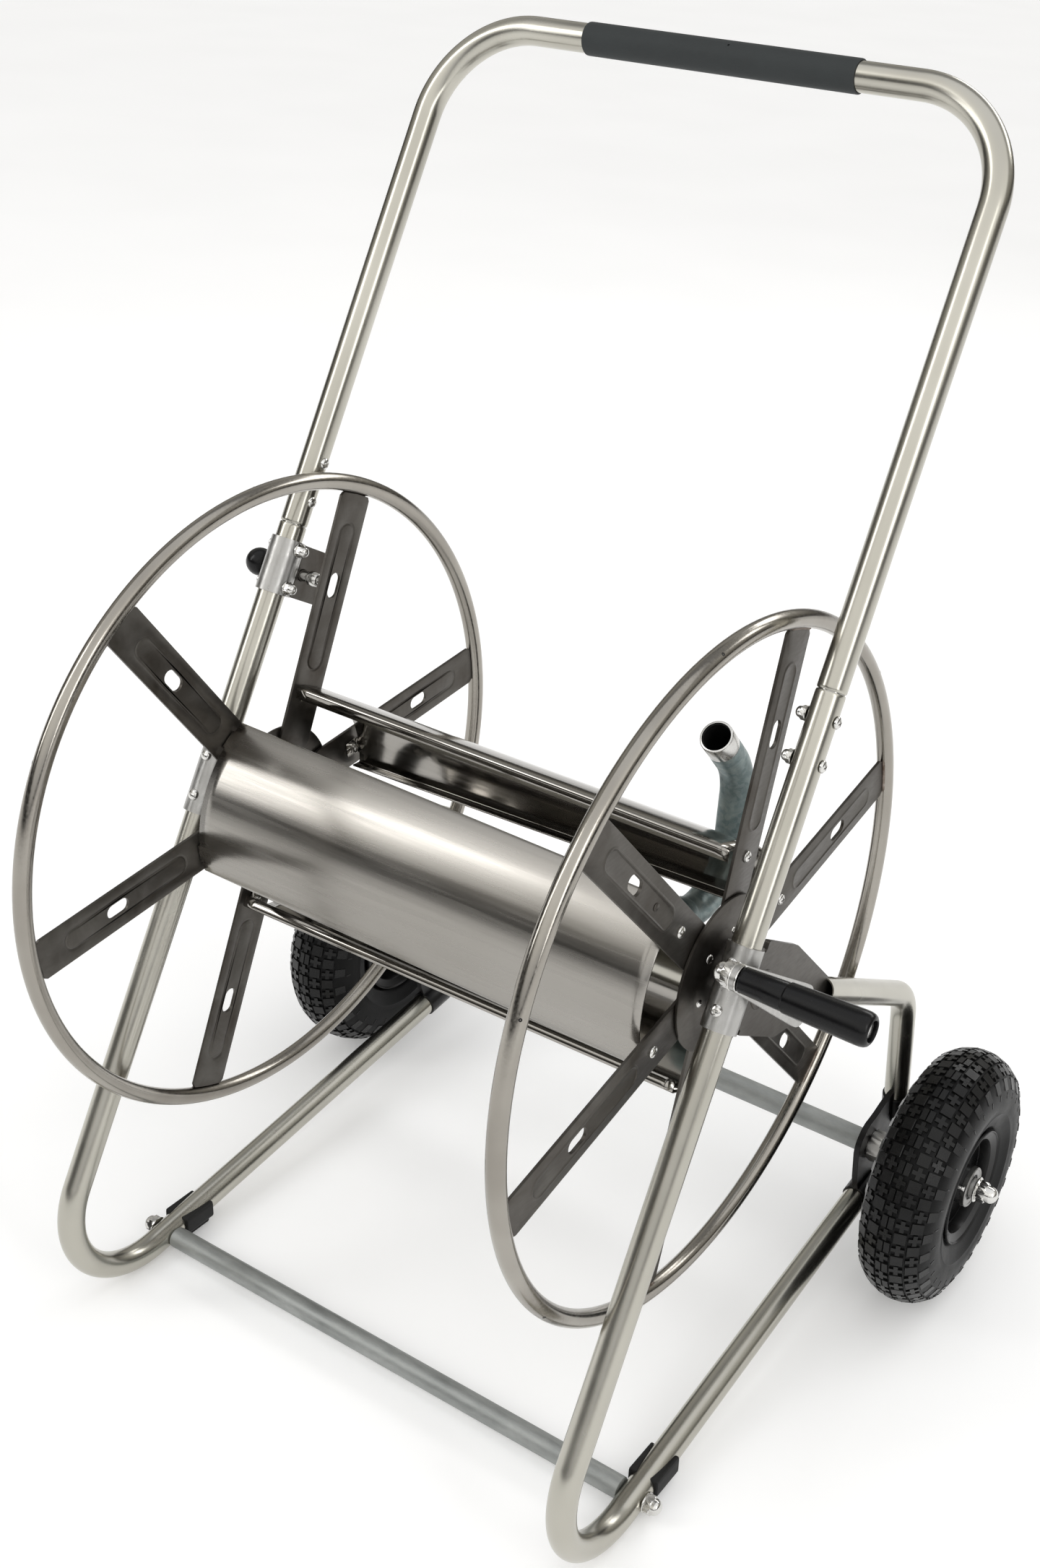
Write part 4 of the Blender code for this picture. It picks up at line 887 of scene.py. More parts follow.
def disc_rings():
    steps, segments = 192, 28
    for word, side in SIDES:
        path = []
        for k in range(steps):
            turn = 2.0 * math.pi * k / steps
            path.append(Vector((side * DISC_X, RING * math.sin(turn), DRUM.z + RING * math.cos(turn))))
        ring = piece(f"disc_rim_{word}", sweep(path, RING_TUBE, 0.0, segments, True), "ring_tube", "drum",
                     f"disc_ring_{word}")
        heat = ring.data.attributes.new("heat", "FLOAT", "POINT")
        for vertex, value in zip(ring.data.vertices, heat.data):
            spot = vertex.co - DRUM
            angle = math.atan2(-spot.y, spot.z)
            closest = min(abs((angle - spoke_angle(side, i) + math.pi) % (2 * math.pi) - math.pi)
                          for i in range(6))
            inward = (RING - math.hypot(spot.y, spot.z)) / RING_TUBE
            near_spoke = max(0.0, 1.0 - max(0.0, closest * RING - 0.018) / 0.016)
            value.value = near_spoke * min(1.0, 0.45 + 0.7 * max(0.0, inward))
        # Each drain hole is a small black disc set on the ring: painted shade standing in for the dark inside
        # of the hole.
        for index in range(6):
            angle = spoke_angle(side, index) + PITCH * 0.42
            outward = RING_TUBE * 0.7
            place = drum_frame(angle) @ Matrix.Translation((side * (DISC_X + outward), 0.0, RING + outward))
            direction = drum_frame(angle).to_3x3() @ Vector((side * 0.707, 0.0, 0.707))
            hole_shade_disc = lathe([(-0.0002, 0.0), (-0.0002, 0.0013), (0.00015, 0.0014), (0.00015, 0.0009),
                            (-0.0001, 0.0)], 20)
            piece(f"drain_hole_shade_disc_{word}_{index + 1}", moved(hole_shade_disc, axis_frame(place.translation, direction)),
                  "black_paint", "drum")


def resample(points, count):
    """Spread count points evenly between the ends of a polyline, keeping its corners close."""
    lengths = [0.0]
    for a, b in zip(points[:-1], points[1:]):
        lengths.append(lengths[-1] + math.hypot(b[0] - a[0], b[1] - a[1]))
    result = []
    for i in range(count):
        target = lengths[-1] * i / (count - 1)
        k = max(j for j in range(len(points) - 1) if lengths[j] <= target + 1e-12)
        span = lengths[k + 1] - lengths[k]
        t = (target - lengths[k]) / span if span else 0.0
        result.append((points[k][0] + (points[k + 1][0] - points[k][0]) * t,
                       points[k][1] + (points[k + 1][1] - points[k][1]) * t))
    return result


def stadium(half_width, low, high, arc, side):
    """Closed stadium loop around the spoke's slot: arc points on each end, side points on each flank."""
    loop = []
    for k in range(arc):
        turn = math.pi * k / (arc - 1)
        loop.append((half_width * math.cos(turn), high + half_width * math.sin(turn)))
    for k in range(1, side + 1):
        loop.append((-half_width, high + (low - high) * k / (side + 1)))
    for k in range(arc):
        turn = math.pi + math.pi * k / (arc - 1)
        loop.append((half_width * math.cos(turn), low + half_width * math.sin(turn)))
    for k in range(1, side + 1):
        loop.append((half_width, low + (high - low) * k / (side + 1)))
    return loop


def spoke_solid(side):
    """Pressed spoke: a long raised bead round a slot, on a plate that narrows at the hub."""
    arc, flank = 17, 14
    half = SPOKE_WIDTH / 2.0
    outer = RING - RING_TUBE - 0.0006
    top = resample([(half, 0.262), (half, outer - 0.0008), (0.0, outer), (-half, outer - 0.0008),
                    (-half, 0.262)], arc)
    bottom = resample([(-half, 0.125), (-half, 0.052), (-0.011, 0.0262), (0.011, 0.0262), (half, 0.052),
                       (half, 0.125)], arc)
    left = [(-half, 0.262 + (0.125 - 0.262) * k / (flank + 1)) for k in range(1, flank + 1)]
    right = [(half, 0.125 + (0.262 - 0.125) * k / (flank + 1)) for k in range(1, flank + 1)]
    edge = top + left + bottom + right
    slot = [(0.0065, 0.0), (0.0068, 0.0), (0.0080, 0.0), (0.0090, 0.0)]
    loops = [(stadium(r, SLOT_RADIUS - 0.0055, SLOT_RADIUS + 0.0055, arc, flank), lift) for r, lift in slot]
    for width, lift in ((0.0097, 0.0), (0.0106, 0.0003), (0.0113, 0.0007), (0.0121, 0.0007), (0.0129, 0.0003),
                        (0.0138, 0.0)):
        loops.append((stadium(width - 0.002, 0.132, 0.252, arc, flank), lift))
    inner_edge = [(y * 0.965, z + (0.0006 if z < 0.1 else 0.0)) for y, z in edge]
    loops += [(inner_edge, 0.0), (edge, 0.00025)]
    count = len(edge)
    verts = []
    for face_x, flip in ((SPOKE_THICKNESS / 2, 1), (-SPOKE_THICKNESS / 2, -1)):
        for number, (loop, lift) in enumerate(loops):
            inset = lift if 0 < number < len(loops) - 1 else 0.0
            rim = -0.00025 * flip if number in (0, len(loops) - 1) else 0.0
            for y, z in loop:
                verts.append(Vector((side * (DISC_X + face_x + inset + rim), y, z)))
    faces = []
    rows = len(loops)
    for layer in range(2):
        base = layer * rows * count
        for row in range(rows - 1):
            faces += band(base + row * count, base + (row + 1) * count, count)
    for row in (0, rows - 1):
        faces += band(row * count, (rows + row) * count, count)
    return verts, faces


def spokes(heads):
    for word, side in SIDES:
        solid = spoke_solid(side)
        for index in range(6):
            place = drum_frame(spoke_angle(side, index))
            piece(f"arm_plate_{word}_{index + 1}", moved(solid, place), "dark_steel", "drum",
                  f"spoke_{word}_{index + 1}", angle=28)
            out = Vector((side, 0.0, 0.0))
            for tag, radius, height in (("plate", 0.0360, 0.0028), ("slat", 0.1003, 0.0)):
                face = DISC_X + SPOKE_THICKNESS / 2 + height
                spot = place @ Vector((side * face, 0.0, radius))
                screw(f"{tag}_screw_{word}_{index + 1}", heads, spot, out, "drum")
            nut = merge(hexagon(0.0092, 0.0, 0.0036), dome(0.0036, 0.0024, 0.0014))
            spot = place @ Vector((side * (SLAT_TAB_X - 0.0017), 0.0, 0.1003))
            piece(f"slat_nut_{word}_{index + 1}", moved(nut, axis_frame(spot, -out)), "bright_fastener",
                  "drum")
            bead = weld_bead(side)
            piece(f"weld_{word}_{index + 1}", moved(bead, place), "weld_metal", "drum")
    spot = drum_frame(spoke_angle(1, 1)) @ Vector((DISC_X + SPOKE_THICKNESS / 2, 0.0, 0.157))
    piece("spoke_rivet", moved(pan_head(0.0035, 0.0016), axis_frame(spot, (1.0, 0.0, 0.0))), "dark_steel",
          "drum")


def weld_bead(side):
    """Low rippled weld along the end of a spoke."""
    path = []
    radii = []
    for k in range(41):
        across = -0.0185 + 0.037 * k / 40
        depth = RING - math.sqrt(max(RING ** 2 - across ** 2, 0.0))
        path.append(Vector((side * (DISC_X + SPOKE_THICKNESS / 2 + 0.0002), across,
                            RING - RING_TUBE - depth + 0.0006)))
        taper = min(1.0, min(k, 40 - k) / 4.0)
        radii.append(0.0006 + taper * (0.0011 + 0.0002 * math.sin(k * 2.1)))
    return sweep(path, radii, segments=12)


def hub_plates():
    face = DISC_X + SPOKE_THICKNESS / 2 + 0.0003
    profile = [(face, 0.0676), (face, 0.0430), (face + 0.0010, 0.0400), (face + 0.0030, 0.0350),
               (face + 0.0040, 0.0310), (face + 0.0040, 0.0103), (face + 0.0065, 0.0103),
               (face + 0.0065, 0.0312), (face + 0.0056, 0.0360), (face + 0.0036, 0.0408),
               (face + 0.0025, 0.0440), (face + 0.0025, 0.0674), (face + 0.0021, 0.0680),
               (face + 0.0004, 0.0680)]
    for word, side in SIDES:
        turn = facing(side)
        piece(f"hub_disc_{word}", moved(lathe(profile, 96, True), Matrix.Translation(DRUM) @ turn),
              "dark_steel", "drum", f"hub_plate_{word}")


def slat_sheet(first_index):
    """One slat as an open sheet: curved face, rolled lips and end tabs."""
    half_spoke = math.asin(SPOKE_WIDTH / 2 / SLAT)
    start = first_index * PITCH - half_spoke
    stop = (first_index + 1) * PITCH + half_spoke
    tab = math.radians(4.5)
    roll = 0.0028

    def corner(angle, sign):
        points = []
        inner = SLAT - roll
        centre = angle + sign * -1 * roll / SLAT
        for k in range(5):
            turn = math.pi / 2 * k / 4
            radius = inner + roll * math.cos(turn)
            points.append((centre + sign * roll * math.sin(turn) / SLAT, radius))
        points.append((angle, SLAT - 0.0110))
        return points

    marks = []
    for centre in (first_index * PITCH, (first_index + 1) * PITCH):
        marks += [centre - tab, centre + tab]
    low = start + roll / SLAT
    high = stop - roll / SLAT
    angles = [low + (marks[0] - low) * k / 3 for k in range(1, 4)] + [marks[1]]
    angles += [marks[1] + (marks[2] - marks[1]) * k / 20 for k in range(1, 21)] + [marks[3]]
    angles += [marks[3] + (high - marks[3]) * k / 3 for k in range(1, 3)]
    section = list(reversed(corner(start, -1))) + [(a, SLAT) for a in angles] + corner(stop, 1)
    stations = [-SLAT_HALF + 2 * SLAT_HALF * k / 40 for k in range(41)]

    def place(x, angle, radius):
        turned = DRUM_LEAN + DRUM_TWIST * x / DISC_X + angle
        return Vector((x, -radius * math.sin(turned), DRUM.z + radius * math.cos(turned)))

    verts = [place(x, a, r) for x in stations for a, r in section]
    width = len(section)
    faces = []
    for i in range(len(stations) - 1):
        for k in range(width - 1):
            a = i * width + k
            faces.append([a, a + 1, a + width + 1, a + width])
    for end, sign in ((0, -1), (len(stations) - 1, 1)):
        for k in range(width - 1):
            pair = (section[k], section[k + 1])
            if abs(pair[0][1] - SLAT) > 1e-9 or abs(pair[1][0] - pair[0][0] - 2 * tab) > 1e-6:
                continue
            previous = end * width + k
            bend = 0.002
            rows = [(SLAT_TAB_X - bend, SLAT)]
            rows += [(SLAT_TAB_X - bend + bend * math.sin(math.pi / 2 * j / 4),
                      SLAT - bend + bend * math.cos(math.pi / 2 * j / 4)) for j in range(1, 5)]
            rows.append((SLAT_TAB_X, SLAT - 0.0155))
            for x, radius in rows:
                current = len(verts)
                verts += [place(sign * x, a, radius) for a in (pair[0][0], pair[1][0])]
                face = [previous, previous + 1, current + 1, current]
                faces.append(face if sign > 0 else list(reversed(face)))
                previous = current
    a, b, c = (verts[i] for i in faces[width // 2][:3])
    outward = a - Vector((a.x, 0.0, DRUM.z))
    if (b - a).cross(c - a).dot(outward) < 0:
        faces = [list(reversed(face)) for face in faces]
    return verts, faces


def slats():
    for name, index, look in (("front", 1, "brushed_sheet"), ("bottom", 3, "mirror_sheet"),
                              ("rear", 5, "mirror_sheet")):
        verts, faces = slat_sheet(index)
        mesh = bpy.data.meshes.new(f"drum_slat_{name}")
        mesh.from_pydata(verts, [], faces)
        mesh.shade_smooth()
        obj = add_object(f"drum_slat_{name}", mesh)
        mesh.materials.append(MATERIALS[look])
        shell = obj.modifiers.new("thickness", "SOLIDIFY")
        shell.thickness = 0.0014
        shell.offset = -1.0
        shell.use_even_offset = True
        bind(obj, "drum", f"slat_{name}")


def core():
    end = DISC_X + SPOKE_THICKNESS / 2 + 0.004
    profile = [(-end, 0.0213), (-end, 0.0235), (-end + 0.0005, 0.024), (end - 0.0005, 0.024), (end, 0.0235),
               (end, 0.0213)]
    piece("axle_tube", moved(lathe(profile, 72, True), Matrix.Translation(DRUM)), "polished_tube", "drum",
          "core_tube")
    face = end
    fin = FRAME_X - 0.0028
    arm = CRANK.x - 0.0058
    shared = [(face - 0.005, 0.0205), (face, 0.0205), (face, 0.0100), (face + 0.0034, 0.0100),
              (face + 0.0034, 0.0140), (face + 0.004, 0.0145), (fin - 0.0006, 0.0145), (fin, 0.0140),
              (fin, 0.0099)]
    right = [(face - 0.005, 0.0), *shared, (arm - 0.0003, 0.0099), (arm - 0.0003, 0.0)]
    piece("crank_shaft", moved(lathe(right, 56), Matrix.Translation(DRUM)), "satin_steel", "drum",
          "axle_stub_right")
    nut = merge(washer(0.0125, 0.004, 0.0, 0.0014), slid(hexagon(0.0205, 0.0, 0.0072), 0.0014),
                dome(0.0084, 0.0045, 0.003))
    piece("crank_shaft_nut", moved(nut, Matrix.Translation(DRUM + Vector((arm + 0.0040, 0, 0)))),
          "bright_fastener", "drum")
    left = [(face - 0.005, 0.0065), *shared, (0.2930, 0.0099)]
    for k in range(9):
        x = 0.2940 + k * 0.0036
        left += [(x, 0.0092), (x + 0.0010, 0.0100), (x + 0.0018, 0.0100)]
    left += [(0.3275, 0.0094), (0.3288, 0.0086), (0.3288, 0.0065)]
    turn = Matrix.Rotation(math.pi, 4, "Z")
    piece("inlet_nipple", moved(lathe(left, 56, True), Matrix.Translation(DRUM) @ turn), "satin_steel",
          "drum", "axle_stub_left")


def neck():
    radial = Vector((0.0, -math.sin(NECK_LEAN), math.cos(NECK_LEAN)))
    mouth = Vector((0.0, -math.sin(MOUTH_LEAN), math.cos(MOUTH_LEAN)))
    base = DRUM + Vector((NECK_X, 0.0, 0.0))
    corners = [base + Vector((0.0, y, z)) for y, z in NECK_CORNERS]
    end = corners[1] + mouth * 0.0483
    bends = rounded_path([base + radial * 0.0795, *corners, end], NECK_BENDS, 26)
    low = [(0.0225, NECK + 0.0030), (0.0240, NECK + 0.0022), (0.0260, NECK), (0.0590, NECK),
           (0.0598, NECK + 0.0014), (0.0608, NECK + 0.0020), (0.0772, NECK + 0.0020),
           (0.0782, NECK + 0.0014), (0.0790, NECK)]
    path = [base + radial * d for d, _ in low] + bends
    radii = [r for _, r in low] + [NECK] * len(bends)
    piece("outlet_bend", sweep(path, radii, NECK_BORE, 56), "galvanised_pipe", "drum", "outlet_pipe")
    profile = [(0.0, 0.0131), (0.0, NECK - 0.0004), (0.0006, NECK + 0.0001), (0.0188, NECK + 0.0001),
               (0.0196, NECK - 0.0003), (0.0199, NECK - 0.0008), (0.0199, 0.0131)]
    piece("outlet_collar", moved(lathe(profile, 72, True), axis_frame(end, mouth)), "machined_collar", "drum")
    # A black sleeve inside the mouth of the pipe: painted shade for the dark inside of the bore.
    bore_shade_sleeve = lathe([(-0.030, 0.0124), (-0.030, 0.0130), (0.0178, 0.0130), (0.0178, 0.0124)], 48, True)
    piece("outlet_bore_shade", moved(bore_shade_sleeve, axis_frame(end, mouth)), "black_rubber", "drum")
    bead = []
    for k in range(96):
        turn = 2.0 * math.pi * k / 96
        along = math.sin(turn) * 0.0163
        around = math.cos(turn) * 0.0163
        depth = math.sqrt(max(0.0245 ** 2 - around ** 2, 0.0))
        bead.append(drum_frame(NECK_LEAN) @ Vector((NECK_X + along, around, depth)))
    verts = []
    faces = []
    for k, point in enumerate(bead):
        tangent = (bead[(k + 1) % 96] - bead[k - 1]).normalized()
        side = tangent.cross(radial).normalized()
        lift = side.cross(tangent)
        size = 0.0019 + 0.0003 * math.sin(k * 1.9)
        for j in range(10):
            turn = 2.0 * math.pi * j / 10
            verts.append(point + (side * math.cos(turn) + lift * math.sin(turn)) * size)
    for k in range(96):
        faces += band(k * 10, ((k + 1) % 96) * 10, 10)
    piece("outlet_weld", (verts, faces), "galvanised_pipe", "drum")


# ---------------------------------------------------------------- crank and brake

def crank():
    lean = math.atan2(-CRANK.y, CRANK.z - DRUM.z)
    length = math.hypot(CRANK.y, CRANK.z - DRUM.z)
    outline = []
    for k in range(25):
        turn = math.pi + math.pi * k / 24
        outline.append((0.018 * math.cos(turn), 0.018 * math.sin(turn)))
    for k in range(21):
        turn = math.pi * k / 20
        outline.append((0.0105 * math.cos(turn), length + 0.0105 * math.sin(turn)))
    arm_x = CRANK.x - 0.0058
    plate = prism(outline, arm_x, arm_x + 0.004, [circle(0.0, 0.0, 0.0082), circle(0.0, length, 0.0044)])
    piece("crank_plate", moved(plate, drum_frame(lean)), "satin_steel", "drum", "crank_arm", 0.0006)
    at = Matrix.Translation((arm_x, CRANK.y, CRANK.z))
    flip = Matrix.Rotation(math.pi, 4, "Z")
    nut = merge(washer(0.0112, 0.004, 0.0, 0.0014), slid(acorn_nut(0.0208, 0.0154), 0.0014))
    bolt = merge(moved(nut, flip), washer(0.0105, 0.004, 0.0040, 0.0013), hexagon(0.0150, 0.1035, 0.1100))
    piece("crank_pivot", moved(bolt, at), "bright_fastener", "drum", "crank_bolt")
    profile = [(0.0, 0.0042), (0.0, 0.0090), (0.0006, 0.0098), (0.0016, 0.0102), (0.0030, 0.0100),
               (0.0180, 0.0106), (0.0362, 0.0113), (0.0370, 0.0110), (0.0376, 0.0113), (0.0384, 0.0120),
               (0.0550, 0.0125), (0.0780, 0.0130), (0.0960, 0.0134), (0.1010, 0.0133), (0.1038, 0.0127),
               (0.1056, 0.0117), (0.1066, 0.0104), (0.1070, 0.0092), (0.1066, 0.0084), (0.1052, 0.0080),
               (0.1012, 0.0078), (0.1012, 0.0042)]
    piece("crank_knob", moved(lathe(profile, 72, True), Matrix.Translation(CRANK)), "black_plastic",
          "crank_handle", "crank_grip")


def brake():
    place = Matrix.Translation((0.0, PIN.y, PIN.z))
    near, far = -FRAME_X + 0.0028, -FRAME_X - 0.0028
    profile = [(far - 0.0088, 0.0043), (far - 0.0088, 0.0070), (far - 0.0082, 0.0075), (far, 0.0075),
               (far, 0.0056), (near, 0.0056), (near + 0.0085, 0.0054), (near + 0.0088, 0.0050),
               (near + 0.0098, 0.0050), (near + 0.0102, 0.0066), (near + 0.0108, 0.0070),
               (near + 0.0150, 0.0070), (near + 0.0190, 0.0062), (near + 0.0200, 0.0056),
               (near + 0.0200, 0.0043)]
    piece("brake_guide", moved(lathe(profile, 48, True), place), "bright_fastener", "frame", "brake_barrel")
    profile = [(-0.3195, 0.0), (-0.3195, 0.0036), (-0.3188, 0.0040), (-0.2480, 0.0040), (-0.2468, 0.0036),
               (-0.2465, 0.0028), (-0.2465, 0.0)]
    piece("brake_plunger", moved(lathe(profile, 40), place), "bright_fastener", "brake", "brake_pin")
    centre, radius = -0.3290, 0.0134
    profile = [(centre - radius, 0.0)]
    for k in range(1, 21):
        turn = math.pi * k / 24
        profile.append((centre - radius * math.cos(turn), radius * math.sin(turn)))
    profile += [(-0.3136, 0.0068), (-0.3122, 0.0066), (-0.3122, 0.0043), (-0.3198, 0.0043), (-0.3198, 0.0)]
    piece("brake_ball", moved(lathe(profile, 56), place), "black_plastic", "brake", "brake_knob")


# ---------------------------------------------------------------- wheels

CROWN = [(0.0, 0.1276), (0.008, 0.1268), (0.014, 0.1252), (0.020, 0.1226), (0.026, 0.1186), (0.030, 0.1148),
         (0.0335, 0.1100), (0.0362, 0.1040), (0.0378, 0.0970), (0.0386, 0.0890), (0.0383, 0.0800),
         (0.0368, 0.0740), (0.0338, 0.0668), (0.0308, 0.0613), (0.0296, 0.0598)]


def crown_spot(arc):
    """Point and outward direction of the tyre section at an arc length from its middle."""
    sign = 1.0 if arc >= 0 else -1.0
    left = abs(arc)
    for (x0, r0), (x1, r1) in zip(CROWN[:-1], CROWN[1:]):
        span = math.hypot(x1 - x0, r1 - r0)
        if left <= span:
            t = left / span
            out = Vector((-(r1 - r0), x1 - x0)).normalized()
            return sign * (x0 + (x1 - x0) * t), r0 + (r1 - r0) * t, (sign * out.x, out.y)
        left -= span
    return sign * CROWN[-1][0], CROWN[-1][1], (sign, 0.0)


def tread_block(outline, arc, angle, height, sink=0.0010, taper=0.0007):
    """Raised shape on the tread; outline is (across, along) in metres round its centre."""
    rings = []
    for level, shrink in ((-sink, 0.0), (height * 0.75, taper * 0.6), (height, taper)):
        ring = []
        for across, along in outline:
            size = math.hypot(across, along)
            scale = max(0.0, 1.0 - shrink / size)
            x, radius, out = crown_spot(arc + across * scale)
            turn = angle + along * scale / 0.1288
            reach = radius + out[1] * level
            ring.append(Vector((x + out[0] * level, reach * math.cos(turn), reach * math.sin(turn))))
        rings.append(ring)
    count = len(outline)
    verts = [v for ring in rings for v in ring]
    faces = []
    for level in range(2):
        faces += band(level * count, (level + 1) * count, count)
    faces.append([2 * count + k for k in range(count)])
    faces.append(list(reversed(range(count))))
    return verts, faces


def tyre_meshes():
    """Casing and tread of one tyre, shared by both wheels."""
    section = CROWN[:10]
    section += [(0.0384, 0.0840), (0.0376, 0.0790), (0.0380, 0.0780), (0.0376, 0.0768), (0.0364, 0.0745),
                (0.0340, 0.0676), (0.0333, 0.0658), (0.0328, 0.0642), (0.0308, 0.0612), (0.0290, 0.0600),
                (0.0266, 0.0570)]
    inner = [(0.0262, 0.0526), (0.0240, 0.0526), (0.0230, 0.0545), (0.0325, 0.0900), (0.0210, 0.1140),
             (0.0, 0.1195)]
    half = section + inner
    profile = half + [(-x, r) for x, r in reversed(half[1:-1])]
    casing = lathe(profile, 128, True)
    square = 0.0062
    rows = 30
    blocks = []
    low = []
    step = 2.0 * math.pi / rows
    arm, waist = 0.0063, 0.0021
    plus = [(-waist, -arm), (waist, -arm), (waist, -waist), (arm, -waist), (arm, waist), (waist, waist),
            (waist, arm), (-waist, arm), (-waist, waist), (-arm, waist), (-arm, -waist), (-waist, -waist)]
    for row in range(-3, 4):
        arc = row * 0.0138
        lift = {0: 0.0021, 1: 0.0022, 2: 0.0020, 3: 0.0009}[abs(row)]
        for k in range(rows):
            angle = (k + (0.5 if row % 2 else 0.0)) * step
            if row == 0:
                for shift in (-1, 1):
                    near, far = sorted((shift * 0.0003, shift * square))
                    shape = [(near, -square), (far, -square), (far, square), (near, square)]
                    middle = shift * (square + 0.0003) / 2.0
                    shape = [(a - middle, b) for a, b in shape]
                    blocks.append(tread_block(shape, middle, angle, lift, taper=0.0004))
            else:
                shape = [(-square, -square), (square, -square), (square, square), (-square, square)]
                target = blocks if abs(row) < 3 else low
                target.append(tread_block(shape, arc, angle, lift))
            if abs(row) < 3:
                low.append(tread_block(plus, arc, angle + step / 2.0, lift * 0.85, taper=0.0003))
    for k in range(rows):
        for sign in (-1, 1):
            bar = [(-0.0030, -0.0008), (0.0030, -0.0008), (0.0030, 0.0008), (-0.0030, 0.0008)]
            low.append(tread_block(bar, sign * 0.0530, k * step + 0.05, 0.0004, taper=0.0002))
    return casing, merge(*blocks), merge(*low)


def wheels():
    casing, tops, low = tyre_meshes()
    rim_profile = [(-0.0380, 0.0083), (-0.0380, 0.0170), (-0.0370, 0.0180), (-0.0080, 0.0195),
                   (-0.0060, 0.0210), (-0.0050, 0.0260), (-0.0045, 0.0420), (-0.0080, 0.0455),
                   (-0.0270, 0.0475), (-0.0300, 0.0490), (-0.0318, 0.0530), (-0.0330, 0.0565),
                   (-0.0345, 0.0575), (-0.0340, 0.0585), (-0.0325, 0.0590), (-0.0300, 0.0575),
                   (-0.0270, 0.0520), (0.0270, 0.0520), (0.0300, 0.0575), (0.0325, 0.0590), (0.0340, 0.0585),
                   (0.0345, 0.0575), (0.0330, 0.0565), (0.0318, 0.0530), (0.0300, 0.0490), (0.0270, 0.0478),
                   (0.0190, 0.0472), (0.0185, 0.0462), (0.0120, 0.0458), (0.0090, 0.0440), (0.0065, 0.0400),
                   (0.0055, 0.0280), (0.0065, 0.0225), (0.0090, 0.0205), (0.0280, 0.0188), (0.0300, 0.0175),
                   (0.0300, 0.0083)]
    cup_profile = [(0.0285, 0.0128), (0.0285, 0.0204), (0.0330, 0.0204), (0.0338, 0.0196), (0.0338, 0.0180),
                   (0.0332, 0.0174), (0.0332, 0.0136), (0.0326, 0.0128)]
    seal_profile = [(0.0285, 0.0088), (0.0285, 0.0126), (0.0318, 0.0126), (0.0322, 0.0122), (0.0322, 0.0092),
                    (0.0318, 0.0088)]
    spacer_profile = [(0.0300, 0.0082), (0.0300, 0.0087), (0.0330, 0.0087), (0.0330, 0.0100),
                      (0.0370, 0.0100), (0.0370, 0.0082)]
    for word, side in SIDES:
        body = f"wheel_{word}"
        turn = facing(side)
        at = Matrix.Translation((side * abs(WHEEL.x), WHEEL.y, WHEEL.z)) @ turn
        # Casing, crosses and block tops carry painted shade and painted light by height: darkest in the
        # grooves, lightest on the block tops.
        piece(f"tyre_casing_{word}", moved(casing, at), "tyre_rubber", body, f"wheel_tyre_{word}")
        piece(f"tyre_blocks_{word}", moved(tops, at), "lit_tread_tops", body, angle=25)
        piece(f"tyre_crosses_{word}", moved(low, at), "tread_cross", body, angle=25)
        piece(f"rim_{word}", moved(lathe(rim_profile, 112, True), at), "black_paint", body,
              f"wheel_rim_{word}")
        piece(f"bearing_cup_{word}", moved(lathe(cup_profile, 72, True), at), "pressed_cup", body)
        piece(f"bearing_seal_{word}", moved(lathe(seal_profile, 72, True), at), "black_rubber", body)
        piece(f"hub_spacer_{word}", moved(lathe(spacer_profile, 48, True), at), "turned_steel", body)
        base, tip = Vector((0.0100, -0.0335, 0.0205)), Vector((0.0335, -0.0290, 0.0180))
        stem = lathe([(0.0, 0.0), (0.0, 0.0046), (0.0060, 0.0036), (0.0180, 0.0033), (0.0185, 0.0026),
                      (0.0185, 0.0)], 28)
        piece(f"valve_stem_{word}", moved(moved(stem, axis_frame(base, tip - base)), at), "black_rubber",
              body)
        nozzle = lathe([(0.0170, 0.0), (0.0170, 0.0022), (0.0225, 0.0022), (0.0230, 0.0026), (0.0252, 0.0026),
                        (0.0256, 0.0021), (0.0256, 0.0)], 24)
        piece(f"valve_tip_{word}", moved(moved(nozzle, axis_frame(base, tip - base)), at), "bright_fastener",
              body)
        plate = 0.2823 - WHEEL.x
        axle = merge(slid(hexagon(0.0330, 0.0, 0.0158), plate),
                     lathe([(plate + 0.0150, 0.0), (plate + 0.0150, 0.0115), (-0.0385, 0.0115),
                            (-0.0385, 0.0080), (0.0378, 0.0080), (0.0378, 0.0)], 48))
        piece(f"axle_bolt_{word}", moved(axle, at), "turned_steel", "frame", f"wheel_axle_{word}")
        cap = merge(washer(0.0128, 0.0079, 0.0376, 0.0016),
                    slid(acorn_nut(0.0215, 0.0208), 0.0391))
        piece(f"axle_nut_{word}", moved(cap, at), "bright_fastener", "frame")


# ---------------------------------------------------------------- stage, light and camera

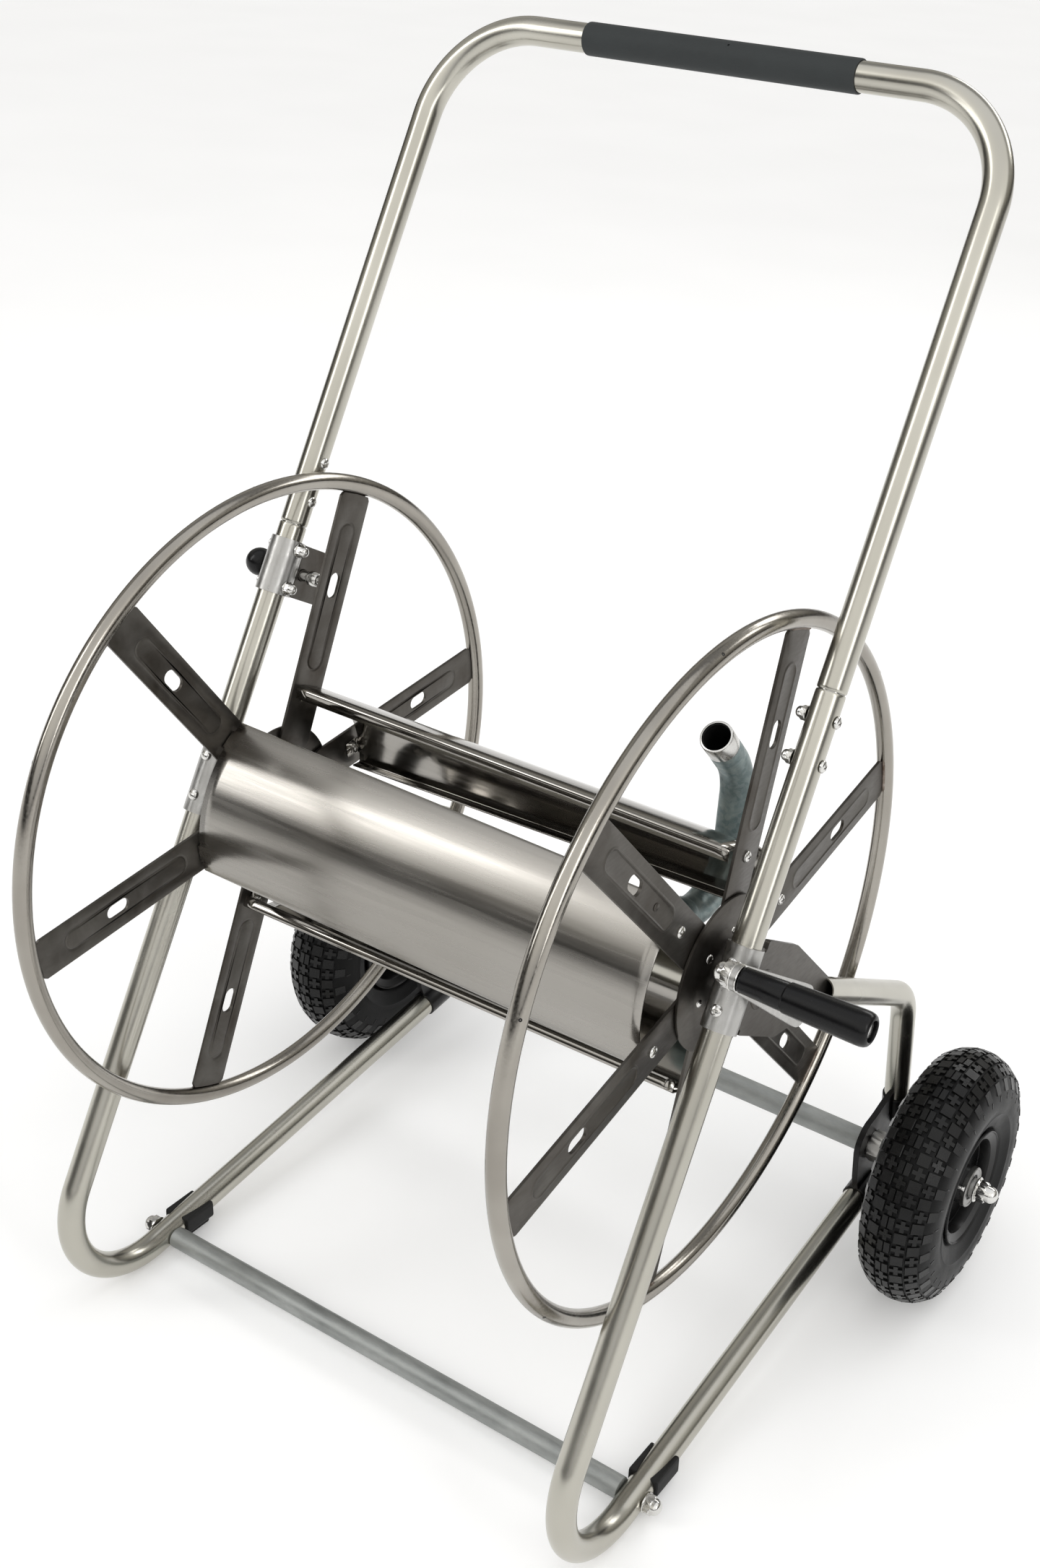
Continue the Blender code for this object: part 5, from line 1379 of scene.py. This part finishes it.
def studio():
    floor_mesh = bpy.data.meshes.new("floor")
    size = 40.0
    corners = [(x, y, -0.0002) for x, y in ((-size, -size), (size, -size), (size, size), (-size, size))]
    floor_mesh.from_pydata(corners, [], [[0, 1, 2, 3]])
    floor = add_object("floor", floor_mesh)
    n = Nodes("floor")
    cloud = n.noise(1.5, detail=2.0)
    shade = n.ramp(cloud, [(0.3, 0.89), (0.7, 0.91)])
    n.link(shade, n.shader.inputs["Emission Color"])
    floor_mesh.materials.append(n.finish(shade, 0.9, 0.0, Emission_Strength=0.20))

    world = bpy.data.worlds.new("studio")
    bpy.context.scene.world = world
    world.use_nodes = True
    tree = world.node_tree
    background = tree.nodes["Background"]
    coords = tree.nodes.new("ShaderNodeTexCoord")
    lean = tree.nodes.new("ShaderNodeMapping")
    lean.inputs["Rotation"].default_value = (math.radians(6), 0.0, 0.0)
    split = tree.nodes.new("ShaderNodeSeparateXYZ")
    ramp = tree.nodes.new("ShaderNodeValToRGB")
    tree.links.new(coords.outputs["Generated"], lean.inputs["Vector"])
    tree.links.new(lean.outputs["Vector"], split.inputs["Vector"])
    tree.links.new(split.outputs["Z"], ramp.inputs["Fac"])
    tree.links.new(ramp.outputs["Color"], background.inputs["Color"])
    stops = [(0.0, (0.03, 0.028, 0.026)), (0.16, (0.05, 0.047, 0.043)), (0.32, (0.34, 0.325, 0.29)),
             (0.55, (0.54, 0.53, 0.50)), (0.78, (0.36, 0.355, 0.345)), (1.0, (0.30, 0.31, 0.33))]
    set_stops(ramp, stops)
    backdrop = tree.nodes.new("ShaderNodeBackground")
    backdrop.inputs["Color"].default_value = (0.90, 0.90, 0.90, 1.0)
    path = tree.nodes.new("ShaderNodeLightPath")
    choose = tree.nodes.new("ShaderNodeMixShader")
    tree.links.new(path.outputs["Is Camera Ray"], choose.inputs[0])
    tree.links.new(background.outputs[0], choose.inputs[1])
    tree.links.new(backdrop.outputs[0], choose.inputs[2])
    tree.links.new(choose.outputs[0], tree.nodes["World Output"].inputs["Surface"])

    sun = bpy.data.lights.new("sky_panel", "SUN")
    sun.energy = 1.7
    sun.angle = math.radians(110)
    sun_object = add_object("sky_panel", sun)
    sun_object.rotation_euler = Vector((-0.30, 0.42, -0.86)).to_track_quat("-Z", "Y").to_euler()

    def softbox(name, place, target, width, height, power):
        lamp = bpy.data.lights.new(name, "AREA")
        lamp.shape = "RECTANGLE"
        lamp.size, lamp.size_y = width, height
        lamp.energy = power
        obj = add_object(name, lamp)
        obj.location = place
        obj.rotation_euler = (Vector(target) - Vector(place)).to_track_quat("-Z", "Y").to_euler()

    softbox("key", (-2.6, -2.4, 2.6), (0.0, 0.0, 0.4), 0.8, 2.4, 26.0)
    softbox("fill", (3.2, -1.2, 1.8), (0.0, 0.1, 0.4), 0.6, 2.2, 16.0)
    softbox("back", (0.6, 3.4, 2.6), (0.0, 0.0, 0.5), 3.0, 0.8, 30.0)


def camera():
    data = bpy.data.cameras.new("camera")
    data.sensor_width = 36.0
    data.lens = LENS
    data.shift_x, data.shift_y = SHIFT
    obj = add_object("camera", data)
    place = Matrix((CAMERA_RIGHT, CAMERA_UP, CAMERA_BACK)).transposed().to_4x4()
    place.translation = CAMERA_PLACE
    obj.matrix_world = place
    bpy.context.scene.camera = obj


camera()
studio()
bpy.context.scene.view_settings.view_transform = "Standard"
HEADS = screw_mesh(0.0052, 0.0034)
frame_tubes()
handle()
handle_bolts(HEADS)
crossbars(HEADS)
feet()
wheel_brackets()
brackets(HEADS)
disc_rings()
spokes(HEADS)
hub_plates()
slats()
core()
neck()
crank()
brake()
wheels()
